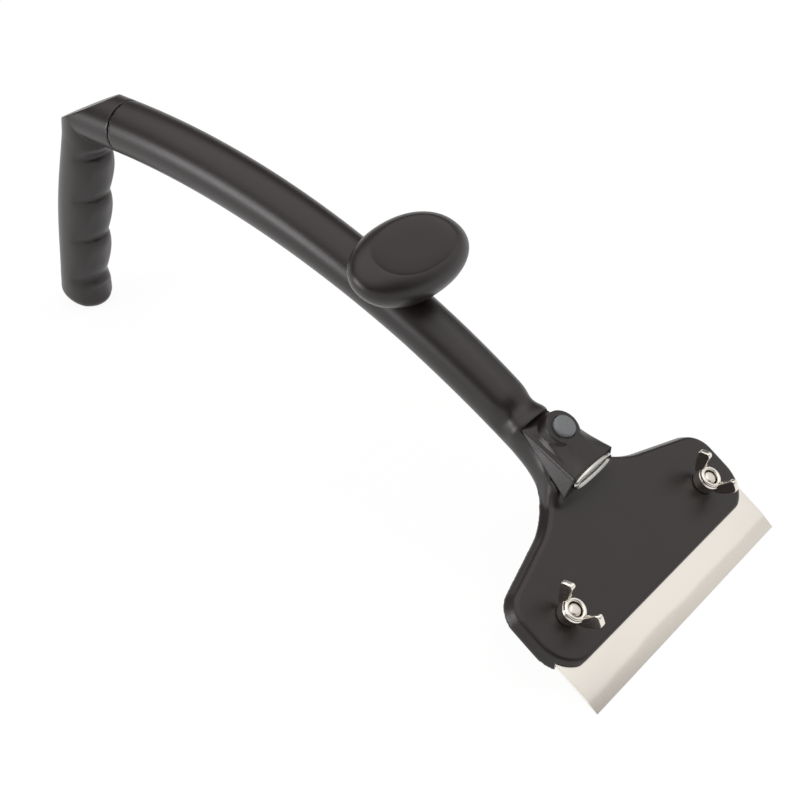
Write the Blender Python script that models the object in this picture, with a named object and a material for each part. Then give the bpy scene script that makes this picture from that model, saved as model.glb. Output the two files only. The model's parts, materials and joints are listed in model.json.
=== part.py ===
# Griddle scraper with a wide clamped blade, a palm knob, a finger grip and a small blade light.
# Units are metres. Everything is modelled in the head's frame: X forward to the blade, Y to the left,
# Z out of the head's flat top, origin on that top midway between the two wing nuts. The frame is then
# turned and lifted so that the scraper stands on its blade edge and the end of its grip.

import bpy
import bmesh
from math import asin, atan2, cos, pi, radians, sin, sqrt, tan
from mathutils import Euler, Matrix, Vector

# Shared fits
GAP = 0.0003
HOLE_CLEARANCE = 0.0003
SLIDE_CLEARANCE = 0.00035
CUT_OVERRUN = 0.0040
MERGE_DISTANCE = 0.00001
# A round edge's middle point lies this share of its radius inside both faces
ROUND_SHARE = 0.3
SMOOTH_ANGLE = radians(35)

# Head: a flat plate with a rounded top rim and a recess under it for the blade
HEAD_SIDE_WALL = 0.0034
HEAD_FRONT = 0.0174
HEAD_THICKNESS = 0.0062
HEAD_RIM_ROUND = 0.0040
HEAD_SHOULDER_REACH = 0.0247
HEAD_SHOULDER_INSET = 0.0183
HEAD_SHOULDER_SWEEP = radians(16.8)
HEAD_REAR_CORNER_RADIUS = 0.0132
HEAD_FRONT_CORNER_RADIUS = 0.0138
NECK_FILLET_RADIUS = 0.0270
NECK_FILLET_END = radians(48)
NECK_END_REACH = 0.0290
NECK_HALF_WIDTH = 0.0260
NECK_DIVE = 0.0006
# Along the neck: how far, how much wider, how far the top has dropped and the underside risen, bulge power
NECK_SHARES = (
    (0.19, 0.03, 0.025, 0.04, 2.5),
    (0.36, 0.12, 0.07, 0.13, 2.6),
    (0.53, 0.31, 0.15, 0.26, 2.7),
    (0.69, 0.59, 0.36, 0.43, 2.8),
    (0.86, 0.86, 0.73, 0.68, 2.8),
    (1.00, 1.00, 1.00, 1.00, 2.8),
)
HEAD_LIP = 0.0029

# Blade, clamp plate and their two bolts with wing nuts
BLADE_WIDTH = 0.1397
BLADE_THICKNESS = 0.0014
BLADE_OVERHANG = 0.01775
BLADE_TAIL = 0.0132
BLADE_GRIND = 0.0078
BLADE_EDGE_THICKNESS = 0.0003
CLAMP_SIDE_INSET = 0.00385
CLAMP_THICKNESS = 0.0013
CLAMP_FRONT_SETBACK = 0.0020
CLAMP_CORNER_RADIUS = 0.0040
NUT_SIDE_INSET = 0.0213
BOLT_DIAMETER = 0.0060
BOLT_HEAD_DIAMETER = 0.0110
BOLT_HEAD_HEIGHT = 0.0021
BOLT_END_SETBACK = 0.0006
BOLT_POINT = 0.0005
BOLT_DOME_SHARE = 0.86
NUT_HEIGHT = 0.0065
NUT_BASE_DIAMETER = 0.0108
NUT_TOP_DIAMETER = 0.0100
NUT_BASE_FLANGE = 0.0011
NUT_WING_SPAN = 0.0232
NUT_WING_TOP = 0.0149
NUT_BASE_STEP = 0.0004
NUT_WING_THICKNESS = 0.0025
NUT_WING_ROUND = 0.0004
# A wing's outline: shares of the half span and of its height
NUT_WING_SHARES = (
    (0.30, 0.13), (0.50, 0.14), (0.64, 0.22), (0.88, 0.52), (1.00, 0.74), (0.98, 0.82), (0.73, 0.98),
    (0.65, 1.00), (0.57, 0.92), (0.49, 0.72), (0.41, 0.58), (0.30, 0.50),
)

# Shaft: one circular arc in side view, thicker towards the grip
SHAFT_ARC_RADIUS = 0.4542
SHAFT_ARC_SWEEP = radians(31.9)
SHAFT_REAR_RADIUS = 0.0131
SHAFT_FRONT_RADIUS = 0.0104
SHAFT_TAPER_POWER = 2.5
SHAFT_AXIS_DEPTH = 0.0029
SHAFT_END_REACH = 0.0649
SHAFT_WALL = 0.0034
SHAFT_BORE_END = radians(8.5)
SHAFT_RINGS = 22
RING_POINTS = 28
ROUND_POWER = 2
SHAFT_FRONT_POWER = 2.4

# Rear grip: a mitred elbow and a four finger handle
ELBOW_LENGTH = 0.0294
ELBOW_ANGLE = radians(103.5)
ELBOW_CUT_ANGLE = radians(27.5)
ELBOW_CUT_HEIGHT = 0.0018
GRIP_LENGTH = 0.1181
GRIP_FRONT_DEPTH = 0.0147
GRIP_BACK_DEPTH = 0.0118
GRIP_HALF_WIDTH = 0.0124
GRIP_GROOVE_PITCH = 0.0260
GRIP_FIRST_GROOVE = 0.0200
GRIP_GROOVE_DEPTH = 0.0030
GRIP_END_ROUND = 0.0045
GRIP_BACK_SWELL = 0.0034
GRIP_FLARE = 0.0034
GRIP_GROOVE_COUNT = 4
GRIP_BORE_DIAMETER = 0.0130
GRIP_BORE_LENGTH = 0.0900
GRIP_BULGE_POWER = 2.15
GRIP_GROOVE_SHAPE = 0.8
GRIP_RINGS_PER_GROOVE = 6
SPIGOT_LENGTH = 0.0240
SPIGOT_ROOT = 0.0040
PLUG_DIAMETER = 0.0150
PLUG_FLANGE = 0.0018
PLUG_DEPTH = 0.0080
GRIP_SCREW_DIAMETER = 0.0036
GRIP_SCREW_HEAD = 0.0064
GRIP_SCREW_HEAD_HEIGHT = 0.0016
GRIP_SCREW_SINK = 0.0006
GRIP_SCREW_INSET = 0.0120
GRIP_SCREW_BITE = 0.0070

# Palm knob: a pebble on a short oval foot
KNOB_REACH = 0.1482
KNOB_LENGTH = 0.0645
KNOB_WIDTH = 0.0392
KNOB_HEIGHT = 0.0187
KNOB_LIFT = 0.0024
KNOB_BELT_SHARE = 0.58
KNOB_RIM_SHARE = 0.71
KNOB_FLAT_SHARE = 0.65
KNOB_UPPER_TURN = radians(62)
KNOB_LOWER_TURN = radians(70)
KNOB_BULGE_POWER = 2.15
KNOB_DISH_DEPTH = 0.0006
# The dish's two rings: share of the rim and share of the depth still left
KNOB_DISH_SHARES = ((0.86, 0.25), (0.45, 0.0))
KNOB_WALL = 0.0030
KNOB_FOOT_LENGTH = 0.0230
KNOB_FOOT_WIDTH = 0.0150
KNOB_FOOT_POWER = 2.2
KNOB_PLATE_THICKNESS = 0.0032
KNOB_SCREW_DIAMETER = 0.0046
KNOB_SCREW_HEAD = 0.0084
KNOB_SCREW_HEAD_HEIGHT = 0.0016
KNOB_SCREW_SINK = 0.0007
KNOB_SCREW_BITE = 0.0090
KNOB_BOSS_DIAMETER = 0.0100

# Blade light: a wedge shaped housing on the neck
LIGHT_REAR_REACH = 0.0676
LIGHT_FRONT_REACH = 0.0379
LIGHT_REAR_TOP = 0.0047
LIGHT_FRONT_TOP = 0.0143
LIGHT_REAR_HALF_WIDTH = 0.0090
LIGHT_FRONT_HALF_WIDTH = 0.0141
LIGHT_SEAT_HEIGHT = 0.0034
LIGHT_SIDE_DRAFT = 0.0028
LIGHT_WALL = 0.0015
LIGHT_CROWN = 0.0006
LIGHT_EDGE_ROUND = 0.0009
CREST_HALF_WIDTH = 0.0076
CREST_EDGE_INSET = 0.0006
CREST_FLAT_HALF_WIDTH = 0.0042
CREST_FOOT_START = 0.35
LIGHT_CAVITY_REAR = 0.0046
LIGHT_CROWN_SHARES = (0.72, 0.38, 0.0)
CREST_SHARES = (0.0, 0.35, 0.7, 1.0)
CREST_TAPER_POWER = 1.3
LIGHT_STATION_SHARES = (1.0, 0.66, 0.33, 0.0)

# Inside the light: button, switch, board, lamp, reflector, lens and coin cells
COLLAR_REACH = 0.0568
COLLAR_TOP = 0.0146
COLLAR_DIAMETER = 0.0168
COLLAR_LIP = 0.0015
COLLAR_EDGE_ROUND = 0.0009
BUTTON_DIAMETER = 0.0104
BUTTON_FLANGE_DIAMETER = 0.0121
BUTTON_FLANGE_THICKNESS = 0.0008
BUTTON_STAND_OUT = 0.0021
BUTTON_STEM_DIAMETER = 0.0032
BUTTON_TRAVEL = 0.0006
BUTTON_EDGE_ROUND = 0.0008
BOARD_REACH = 0.0500
BOARD_LENGTH = 0.0100
BOARD_WIDTH = 0.0110
BOARD_THICKNESS = 0.0008
BOARD_RAISE = 0.0008
SWITCH_SIDE = 0.0050
SWITCH_HEIGHT = 0.0017
PLUNGER_DIAMETER = 0.0024
PLUNGER_HEIGHT = 0.0017
PLUNGER_WELL = 0.0013
POST_DIAMETER = 0.0018
POST_SETBACK = 0.0013
POST_OFFSET = 0.0046
LENS_HALF_WIDTH = 0.0116
LENS_HALF_HEIGHT = 0.0036
LENS_THICKNESS = 0.0009
LENS_CROWN = 0.0005
LENS_CENTRE_SHARE = 0.47
LENS_POWER = 2.3
BEZEL_RIM = 0.0014
BEZEL_STAND_OUT = 0.0017
BEZEL_LEDGE = 0.0008
BEZEL_SKIRT = 0.0008
BEZEL_EDGE_ROUND = 0.0005
BEZEL_SKIRT_DEPTH = 0.0024
REFLECTOR_DEPTH = 0.0075
REFLECTOR_WALL = 0.0006
REFLECTOR_BACK_HALF_WIDTH = 0.0034
REFLECTOR_BACK_HALF_HEIGHT = 0.0026
LAMP_DIAMETER = 0.0030
LAMP_LENGTH = 0.0042
LAMP_FLANGE = 0.0004
LAMP_FLANGE_LENGTH = 0.0008
LAMP_LEG = 0.0005
LAMP_LEG_SPACING = 0.0013
CELL_DIAMETER = 0.0200
CELL_HEIGHT = 0.0032
CELL_EDGE = 0.0006
CELL_REACH = 0.0488
CONTACT_THICKNESS = 0.0003
CONTACT_DIAMETER = 0.0120
TRAY_WALL = 0.0010
TRAY_FLOOR = 0.0012
TRAY_HEADROOM = 0.0013
LIGHT_SCREW_REACH = 0.0408
LIGHT_SCREW_OFFSET = 0.0120
LIGHT_SCREW_DIAMETER = 0.0022
LIGHT_SCREW_HEAD = 0.0042
LIGHT_SCREW_HEAD_HEIGHT = 0.0016
LIGHT_SCREW_BITE = 0.0032
LIGHT_BOSS_DIAMETER = 0.0048
LIGHT_SCREW_SEAT = 0.0030

# What follows from the sizes above: the head goes round the blade, the bolts keep to the head's sides and the
# neck runs from the shaft's end into the head
HEAD_HALF_WIDTH = BLADE_WIDTH / 2 + HEAD_SIDE_WALL
CLAMP_HALF_WIDTH = BLADE_WIDTH / 2 - CLAMP_SIDE_INSET
NUT_OFFSET = HEAD_HALF_WIDTH - NUT_SIDE_INSET
NECK_LENGTH = SHAFT_END_REACH - NECK_END_REACH

# The tilt that stands the scraper on its blade and grip is looked for between these
STAND_TILT_RANGE = (radians(5), radians(60))


def clear_scene():
    for thing in list(bpy.data.objects):
        bpy.data.objects.remove(thing)


def material(name, colour, roughness, metallic):
    made = bpy.data.materials.new(name)
    made.use_nodes = True
    shader = made.node_tree.nodes["Principled BSDF"]
    shader.inputs["Base Color"].default_value = (*colour, 1.0)
    shader.inputs["Roughness"].default_value = roughness
    shader.inputs["Metallic"].default_value = metallic
    made.diffuse_color = (*colour, 1.0)
    return made


def finish(name, bm, surface, parent):
    bmesh.ops.recalc_face_normals(bm, faces=bm.faces)
    mesh = bpy.data.meshes.new(name)
    bm.to_mesh(mesh)
    bm.free()
    mesh.shade_smooth()
    mesh.set_sharp_from_angle(angle=SMOOTH_ANGLE)
    thing = bpy.data.objects.new(name, mesh)
    bpy.context.scene.collection.objects.link(thing)
    if surface is not None:
        mesh.materials.append(surface)
    thing.parent = parent
    return thing


# A form that only cuts or joins other pieces
def boolean_tool(name, bm, parent):
    thing = finish(name, bm, None, parent)
    thing.hide_render = True
    thing.display_type = "WIRE"
    return thing


def boolean(target, tool, operation):
    step = target.modifiers.new(operation.lower(), "BOOLEAN")
    step.operation = operation
    step.solver = "EXACT"
    step.object = tool


def cut(target, tool):
    boolean(target, tool, "DIFFERENCE")


def join(target, tool):
    boolean(target, tool, "UNION")


# Skin a row of rings, each with the same number of points, and close both ends
def loft(rings):
    bm = bmesh.new()
    rows = [[bm.verts.new(point) for point in ring] for ring in rings]
    for near, far in zip(rows, rows[1:]):
        for k in range(len(near)):
            after = (k + 1) % len(near)
            bm.faces.new((near[k], near[after], far[after], far[k]))
    bm.faces.new(rows[0])
    bm.faces.new(rows[-1])
    return bm


# Turn a closed outline of (radius, height) pairs about the Z axis
def turned(outline, steps, start=0.0):
    bm = bmesh.new()
    points = [bm.verts.new((radius * cos(start), radius * sin(start), height)) for radius, height in outline]
    edges = [bm.edges.new((points[k], points[(k + 1) % len(points)])) for k in range(len(points))]
    bmesh.ops.spin(bm, geom=points + edges, axis=(0, 0, 1), cent=(0, 0, 0), angle=2 * pi, steps=steps,
                   use_merge=True)
    bmesh.ops.remove_doubles(bm, verts=bm.verts, dist=MERGE_DISTANCE)
    flat = [edge for edge in bm.edges if not edge.link_faces]
    bmesh.ops.delete(bm, geom=flat, context="EDGES")
    return bm


def rod(radius, low, high, steps=20, start=0.0):
    return turned([(0, low), (radius, low), (radius, high), (0, high)], steps, start)


# Raise a flat outline of (x, y) pairs from one height to another
def slab(outline, low, high):
    return loft([[Vector((x, y, z)) for x, y in outline] for z in (low, high)])


def box(low, high):
    (x0, y0, z0), (x1, y1, z1) = low, high
    return slab([(x0, y0), (x1, y0), (x1, y1), (x0, y1)], z0, z1)


def arc(centre, radius, start, end, steps):
    turns = [start + (end - start) * k / steps for k in range(steps + 1)]
    return [(centre[0] + radius * cos(turn), centre[1] + radius * sin(turn)) for turn in turns]


# A ring whose sides bulge more as its power rises: two gives an ellipse
def bulged_ring(centre, side, up, half_width, half_height, power, count=RING_POINTS):
    ring = []
    for k in range(count):
        turn = 2 * pi * k / count
        across = abs(cos(turn)) ** (2 / power) * (1 if cos(turn) >= 0 else -1)
        rise = abs(sin(turn)) ** (2 / power) * (1 if sin(turn) >= 0 else -1)
        ring.append(centre + side * (half_width * across) + up * (half_height * rise))
    return ring


def empty(name, parent=None, location=(0, 0, 0), turn=0.0):
    thing = bpy.data.objects.new(name, None)
    bpy.context.scene.collection.objects.link(thing)
    thing.parent = parent
    thing.location = location
    thing.rotation_euler = Euler((0, turn, 0))
    return thing


SIDE = Vector((0, 1, 0))
SHAFT_ARC_CENTRE = Vector((-SHAFT_END_REACH, 0, -SHAFT_AXIS_DEPTH - SHAFT_ARC_RADIUS))


# Place on the shaft's axis, its forward direction and its upward direction, for a turn back from the head
def shaft_frame(turn):
    up = Vector((-sin(turn), 0, cos(turn)))
    forward = Vector((cos(turn), 0, sin(turn)))
    return SHAFT_ARC_CENTRE + up * SHAFT_ARC_RADIUS, forward, up


def shaft_radius(turn):
    grown_share = 1 - (1 - turn / SHAFT_ARC_SWEEP) ** SHAFT_TAPER_POWER
    return SHAFT_FRONT_RADIUS + (SHAFT_REAR_RADIUS - SHAFT_FRONT_RADIUS) * grown_share


def turn_at_reach(reach):
    return asin((reach - SHAFT_END_REACH) / SHAFT_ARC_RADIUS)


def mirrored(outline):
    return outline + [(x, -y) for x, y in reversed(outline)]


# The head's outline: front corner, rear corner, swept shoulder and the start of the neck's hollow
def head_outline():
    half = HEAD_HALF_WIDTH
    corner = HEAD_FRONT_CORNER_RADIUS
    front = arc((HEAD_FRONT - corner, half - corner), corner, 0, pi / 2, 7)
    sweep = HEAD_SHOULDER_SWEEP
    shoulder = (-HEAD_SHOULDER_REACH, half - HEAD_SHOULDER_INSET)
    rear_y = half - HEAD_REAR_CORNER_RADIUS
    rear_x = shoulder[0] + (HEAD_REAR_CORNER_RADIUS + (rear_y - shoulder[1]) * sin(sweep)) / cos(sweep)
    rear = arc((rear_x, rear_y), HEAD_REAR_CORNER_RADIUS, pi / 2, pi - sweep, 7)
    # the hollow's centre lies its radius outside the shoulder line, level with the neck's flare
    hollow_y = SHAFT_FRONT_RADIUS + NECK_FILLET_RADIUS
    hollow_x = shoulder[0] - (NECK_FILLET_RADIUS - (hollow_y - shoulder[1]) * sin(sweep)) / cos(sweep)
    hollow = arc((hollow_x, hollow_y), NECK_FILLET_RADIUS, -sweep, -NECK_FILLET_END, 6)
    return front + rear + hollow


def make_head_plate(parent):
    bm = slab(mirrored(head_outline()), -HEAD_THICKNESS, 0)
    top_rim = [edge for edge in bm.edges if all(abs(corner.co.z) < MERGE_DISTANCE for corner in edge.verts)]
    bmesh.ops.bevel(bm, geom=top_rim, offset=HEAD_RIM_ROUND, segments=3, profile=0.5, affect="EDGES")
    bmesh.ops.triangulate(bm, faces=[face for face in bm.faces if len(face.verts) == 4])
    return boolean_tool("head_plate_form", bm, parent)


def neck_rings():
    rings = []
    top = SHAFT_FRONT_RADIUS - SHAFT_AXIS_DEPTH
    bottom = -SHAFT_FRONT_RADIUS - SHAFT_AXIS_DEPTH
    for along, wider, dropped, risen, power in NECK_SHARES:
        high = top + (-NECK_DIVE - top) * dropped
        low = bottom + (NECK_DIVE - HEAD_THICKNESS - bottom) * risen
        width = SHAFT_FRONT_RADIUS + (NECK_HALF_WIDTH - SHAFT_FRONT_RADIUS) * wider
        centre = Vector((-SHAFT_END_REACH + NECK_LENGTH * along, 0, (high + low) / 2))
        rings.append(bulged_ring(centre, SIDE, Vector((0, 0, 1)), width, (high - low) / 2, power))
    return rings


def shaft_rings(inset, first_turn, last_turn, steps, count=RING_POINTS, power_end=ROUND_POWER):
    rings = []
    for k in range(steps + 1):
        turn = first_turn + (last_turn - first_turn) * k / steps
        centre, _, up = shaft_frame(turn)
        radius = shaft_radius(turn) - inset
        power = ROUND_POWER + (power_end - ROUND_POWER) * max(0, 1 - turn / SHAFT_BORE_END)
        rings.append(bulged_ring(centre, SIDE, up, radius, radius, power, count))
    return rings


def make_shaft_body(surface, root):
    rings = shaft_rings(0, SHAFT_ARC_SWEEP, 0, SHAFT_RINGS, power_end=SHAFT_FRONT_POWER)
    rings += neck_rings()
    body = finish("shaft_body", loft(rings), surface, root)
    join(body, make_head_plate(root))
    # hollow, open at the grip
    _, forward, _ = shaft_frame(SHAFT_ARC_SWEEP)
    inner = shaft_rings(SHAFT_WALL, SHAFT_ARC_SWEEP, SHAFT_BORE_END, 14, 20)
    inner.insert(0, [point - forward * CUT_OVERRUN for point in inner[0]])
    cut(body, boolean_tool("shaft_bore", loft(inner), root))
    # recess for the blade and its clamp, open at the front
    half = BLADE_WIDTH / 2 + SLIDE_CLEARANCE
    recess = box((-BLADE_TAIL - SLIDE_CLEARANCE, -half, -HEAD_THICKNESS - CUT_OVERRUN),
                 (HEAD_FRONT + CUT_OVERRUN, half, -HEAD_LIP))
    cut(body, boolean_tool("blade_recess", recess, root))
    for side in (-1, 1):
        place = (0, side * NUT_OFFSET, 0)
        round_hole(body, BOLT_DIAMETER, -HEAD_LIP - CUT_OVERRUN, CUT_OVERRUN, place, root)
    return body


def round_hole(target, diameter, low, high, place, parent, steps=16):
    tool = boolean_tool("hole_tool", rod(diameter / 2 + HOLE_CLEARANCE, low, high, steps, pi / steps), parent)
    tool.location = place
    cut(target, tool)


# A screw's hole from below: wide for its head up to the seat, then as wide as its shank up to its tip
def screw_hole(targets, head, shank, outside, under_head, tip, place, parent, steps=16):
    wide = head / 2 + HOLE_CLEARANCE
    narrow = shank / 2 + HOLE_CLEARANCE
    outline = [(0, outside), (wide, outside), (wide, under_head + GAP), (narrow, under_head + GAP),
               (narrow, tip + GAP), (0, tip + GAP)]
    tool = boolean_tool("screw_hole", turned(outline, steps, pi / steps), parent)
    tool.location = place
    for target in targets:
        cut(target, tool)


def make_screw(name, surface, frame, head, head_height, shank, face, tip, place=(0, 0, 0)):
    outline = [(0, face), (head / 2, face), (head / 2, face + head_height), (shank / 2, face + head_height),
               (shank / 2, tip - shank / 2), (shank / 4, tip), (0, tip)]
    screw = finish(name, turned(outline, 16), surface, frame)
    screw.location = place
    return screw


# The grip's frame: origin at the elbow, X towards the fingers, Z back up the handle
def grip_direction(turn):
    return Vector((cos(turn), 0, sin(turn)))


def elbow_place():
    end, forward, _ = shaft_frame(SHAFT_ARC_SWEEP)
    return end - forward * ELBOW_LENGTH


def grip_depths(along):
    phase = 2 * pi * (along - GRIP_FIRST_GROOVE) / GRIP_GROOVE_PITCH
    last = GRIP_FIRST_GROOVE + GRIP_GROOVE_PITCH * (GRIP_GROOVE_COUNT - 1) + GRIP_GROOVE_PITCH / 4
    groove = max(0, cos(phase)) ** GRIP_GROOVE_SHAPE if along < last else 0
    flare = GRIP_FLARE * min(1, max(0, (along - last) / (GRIP_LENGTH - last)))
    front = GRIP_FRONT_DEPTH - GRIP_GROOVE_DEPTH * groove + flare
    back = GRIP_BACK_DEPTH + GRIP_BACK_SWELL * sin(pi * min(1, along / GRIP_LENGTH)) ** 2
    return front, back


def grip_rings():
    down = grip_direction(SHAFT_ARC_SWEEP - ELBOW_ANGLE)
    front_way = grip_direction(SHAFT_ARC_SWEEP - ELBOW_ANGLE + pi / 2)
    elbow = elbow_place()
    start = GRIP_FIRST_GROOVE - GRIP_GROOVE_PITCH / 4
    straight_end = GRIP_LENGTH - GRIP_END_ROUND
    count = round((straight_end - start) / GRIP_GROOVE_PITCH * GRIP_RINGS_PER_GROOVE)
    stations = [(start + (straight_end - start) * k / count, 0) for k in range(count + 1)]
    for k in range(1, 5):
        turn = pi / 2 * k / 4
        stations.append((straight_end + GRIP_END_ROUND * sin(turn), GRIP_END_ROUND * (1 - cos(turn))))
    rings = []
    for along, inset in stations:
        front, back = grip_depths(min(along, straight_end))
        centre = elbow + down * along + front_way * ((front - back) / 2)
        half_depth = (front + back) / 2 - inset
        half_width = GRIP_HALF_WIDTH - inset
        rings.append(bulged_ring(centre, SIDE, -front_way, half_width, half_depth, GRIP_BULGE_POWER))
    return rings


def make_rear_grip(surface, steel, root, shaft):
    end, forward, up = shaft_frame(SHAFT_ARC_SWEEP)
    radius = shaft_radius(SHAFT_ARC_SWEEP)
    elbow = elbow_place()
    # the elbow's mitre lies on the line that halves its angle
    inward = grip_direction(SHAFT_ARC_SWEEP - ELBOW_ANGLE / 2)
    mitre_half = radius / sin(ELBOW_ANGLE / 2)
    seam = bulged_ring(end - forward * GAP, SIDE, up, radius, radius, ROUND_POWER)
    mitre = bulged_ring(elbow, SIDE, -inward, radius, mitre_half, ROUND_POWER)
    bm = loft([seam, mitre] + grip_rings())
    top = grip_direction(SHAFT_ARC_SWEEP + ELBOW_CUT_ANGLE + pi / 2)
    bmesh.ops.bisect_plane(bm, geom=bm.verts[:] + bm.edges[:] + bm.faces[:],
                           plane_co=elbow + top * ELBOW_CUT_HEIGHT, plane_no=top, clear_outer=True)
    bmesh.ops.holes_fill(bm, edges=[edge for edge in bm.edges if edge.is_boundary])
    grip = finish("rear_grip", bm, surface, root)
    # spigot that slides into the shaft's bore
    bore_inset = SHAFT_WALL + SLIDE_CLEARANCE
    first = SHAFT_ARC_SWEEP - SPIGOT_LENGTH / SHAFT_ARC_RADIUS
    spigot = shaft_rings(bore_inset, first, SHAFT_ARC_SWEEP, 3, 20)
    spigot.append([point - forward * SPIGOT_ROOT for point in spigot[-1]])
    join(grip, boolean_tool("spigot", loft(spigot), root))
    # bore with an end plug
    frame = empty("grip_frame", root, elbow, ELBOW_ANGLE - SHAFT_ARC_SWEEP - pi / 2)
    bottom = -GRIP_LENGTH
    hole = GRIP_BORE_DIAMETER
    round_hole(grip, hole, bottom - CUT_OVERRUN, bottom + GRIP_BORE_LENGTH, (0, 0, 0), frame, 20)
    flange_top = bottom + PLUG_FLANGE
    round_hole(grip, PLUG_DIAMETER, bottom - CUT_OVERRUN, flange_top + GAP, (0, 0, 0), frame, 24)
    outline = [(0, bottom), (PLUG_DIAMETER / 2, bottom), (PLUG_DIAMETER / 2, flange_top),
               (hole / 2, flange_top), (hole / 2, bottom + PLUG_DEPTH), (0, bottom + PLUG_DEPTH)]
    finish("grip_end_plug", turned(outline, 24), surface, frame)
    # screw through the shaft's underside into the spigot
    turn = SHAFT_ARC_SWEEP - GRIP_SCREW_INSET / SHAFT_ARC_RADIUS
    place, _, _ = shaft_frame(turn)
    screw_frame = empty("grip_screw_frame", root, place, -turn)
    head = GRIP_SCREW_HEAD
    shank = GRIP_SCREW_DIAMETER
    face = -shaft_radius(turn) + GRIP_SCREW_SINK
    under_head = face + GRIP_SCREW_HEAD_HEIGHT
    tip = under_head + GRIP_SCREW_BITE
    outside = -shaft_radius(turn) - CUT_OVERRUN
    screw_hole((shaft, grip), head, shank, outside, under_head, tip, (0, 0, 0), screw_frame)
    make_screw("grip_screw", steel, screw_frame, head, GRIP_SCREW_HEAD_HEIGHT, shank, face, tip)


# One ring of the knob: its share of the full oval, its height over the belt and a wall taken off
def knob_ring(share, height, inset, count):
    centre = Vector((0, 0, height))
    half_width = KNOB_WIDTH / 2 * share - inset
    half_length = KNOB_LENGTH / 2 * share - inset
    return bulged_ring(centre, SIDE, Vector((1, 0, 0)), half_length, half_width, KNOB_BULGE_POWER, count)


def knob_rings(inset, count, steps):
    belt = KNOB_HEIGHT * KNOB_BELT_SHARE
    rise = KNOB_HEIGHT - belt
    rings = []
    for k in range(steps, 0, -1):
        turn = KNOB_LOWER_TURN * k / steps
        share = 1 - (1 - KNOB_FLAT_SHARE) * (1 - cos(turn)) / (1 - cos(KNOB_LOWER_TURN))
        rings.append(knob_ring(share, belt - belt * sin(turn) / sin(KNOB_LOWER_TURN), inset, count))
    for k in range(steps + 1):
        turn = KNOB_UPPER_TURN * k / steps
        share = 1 - (1 - KNOB_RIM_SHARE) * (1 - cos(turn)) / (1 - cos(KNOB_UPPER_TURN))
        height = belt + (rise - inset) * sin(turn) / sin(KNOB_UPPER_TURN)
        rings.append(knob_ring(share, height, inset, count))
    return rings


def make_knob(surface, steel, root, shaft):
    turn = turn_at_reach(KNOB_REACH)
    place, _, _ = shaft_frame(turn)
    radius = shaft_radius(turn)
    axis_frame = empty("knob_axis_frame", root, place, -turn)
    frame = empty("knob_frame", axis_frame, (0, 0, radius + KNOB_LIFT))
    rings = knob_rings(0, 32, 5)
    dish = KNOB_HEIGHT - KNOB_DISH_DEPTH
    for share, left in KNOB_DISH_SHARES:
        rings.append(knob_ring(KNOB_RIM_SHARE * share, dish + KNOB_DISH_DEPTH * left, 0, 32))
    cap = finish("knob_cap", loft(rings), surface, frame)
    # hollow inside, open below, with a boss for the screw
    hollow = knob_rings(KNOB_WALL, 20, 3)
    hollow.insert(0, [point - Vector((0, 0, CUT_OVERRUN)) for point in hollow[0]])
    hollow_tool = boolean_tool("knob_hollow", loft(hollow), frame)
    boss = rod(KNOB_BOSS_DIAMETER / 2, KNOB_PLATE_THICKNESS + GAP, KNOB_HEIGHT, 16)
    cut(hollow_tool, boolean_tool("knob_boss", boss, frame))
    cut(cap, hollow_tool)
    # base: a plate in the cap's mouth on an oval foot that saddles the shaft
    up = Vector((0, 0, 1))
    along = Vector((1, 0, 0))
    mouth = knob_ring(KNOB_FLAT_SHARE, 0, KNOB_WALL + HOLE_CLEARANCE, 20)
    plate = [[point + up * height for point in mouth] for height in (-2 * GAP, KNOB_PLATE_THICKNESS)]
    base = finish("knob_base", loft(plate), surface, frame)
    oval_foot = bulged_ring(-up * GAP, SIDE, along, KNOB_FOOT_WIDTH / 2, KNOB_FOOT_LENGTH / 2,
                            KNOB_FOOT_POWER, 20)
    foot = [[point - up * drop for point in oval_foot] for drop in (KNOB_LIFT + radius / 2, 0)]
    join(base, boolean_tool("knob_foot", loft(foot), frame))
    reach = KNOB_FOOT_LENGTH / SHAFT_ARC_RADIUS
    saddle = shaft_rings(-GAP, turn + reach, turn - reach, 6)
    cut(base, boolean_tool("knob_saddle", loft(saddle), root))
    # screw from the shaft's underside, through both walls and the base, into the boss
    head = KNOB_SCREW_HEAD
    shank = KNOB_SCREW_DIAMETER
    face = KNOB_SCREW_SINK - radius
    under_head = face + KNOB_SCREW_HEAD_HEIGHT
    tip = radius + KNOB_LIFT + KNOB_PLATE_THICKNESS + GAP + KNOB_SCREW_BITE
    outside = -radius - CUT_OVERRUN
    screw_hole((shaft, base, cap), head, shank, outside, under_head, tip, (0, 0, 0), axis_frame)
    make_screw("knob_screw", steel, axis_frame, head, KNOB_SCREW_HEAD_HEIGHT, shank, face, tip)


def make_blade(surface, root):
    top = -HEAD_LIP - GAP
    bottom = top - BLADE_THICKNESS
    tip = HEAD_FRONT + BLADE_OVERHANG
    profile = [(-BLADE_TAIL, bottom), (tip, bottom), (tip, bottom + BLADE_EDGE_THICKNESS),
               (tip - BLADE_GRIND, top), (-BLADE_TAIL, top)]
    bm = loft([[Vector((x, y, z)) for x, z in profile] for y in (-BLADE_WIDTH / 2, BLADE_WIDTH / 2)])
    blade = finish("blade", bm, surface, root)
    for side in (-1, 1):
        place = (0, side * NUT_OFFSET, 0)
        round_hole(blade, BOLT_DIAMETER, bottom - CUT_OVERRUN, top + CUT_OVERRUN, place, root)
    return blade


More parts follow.
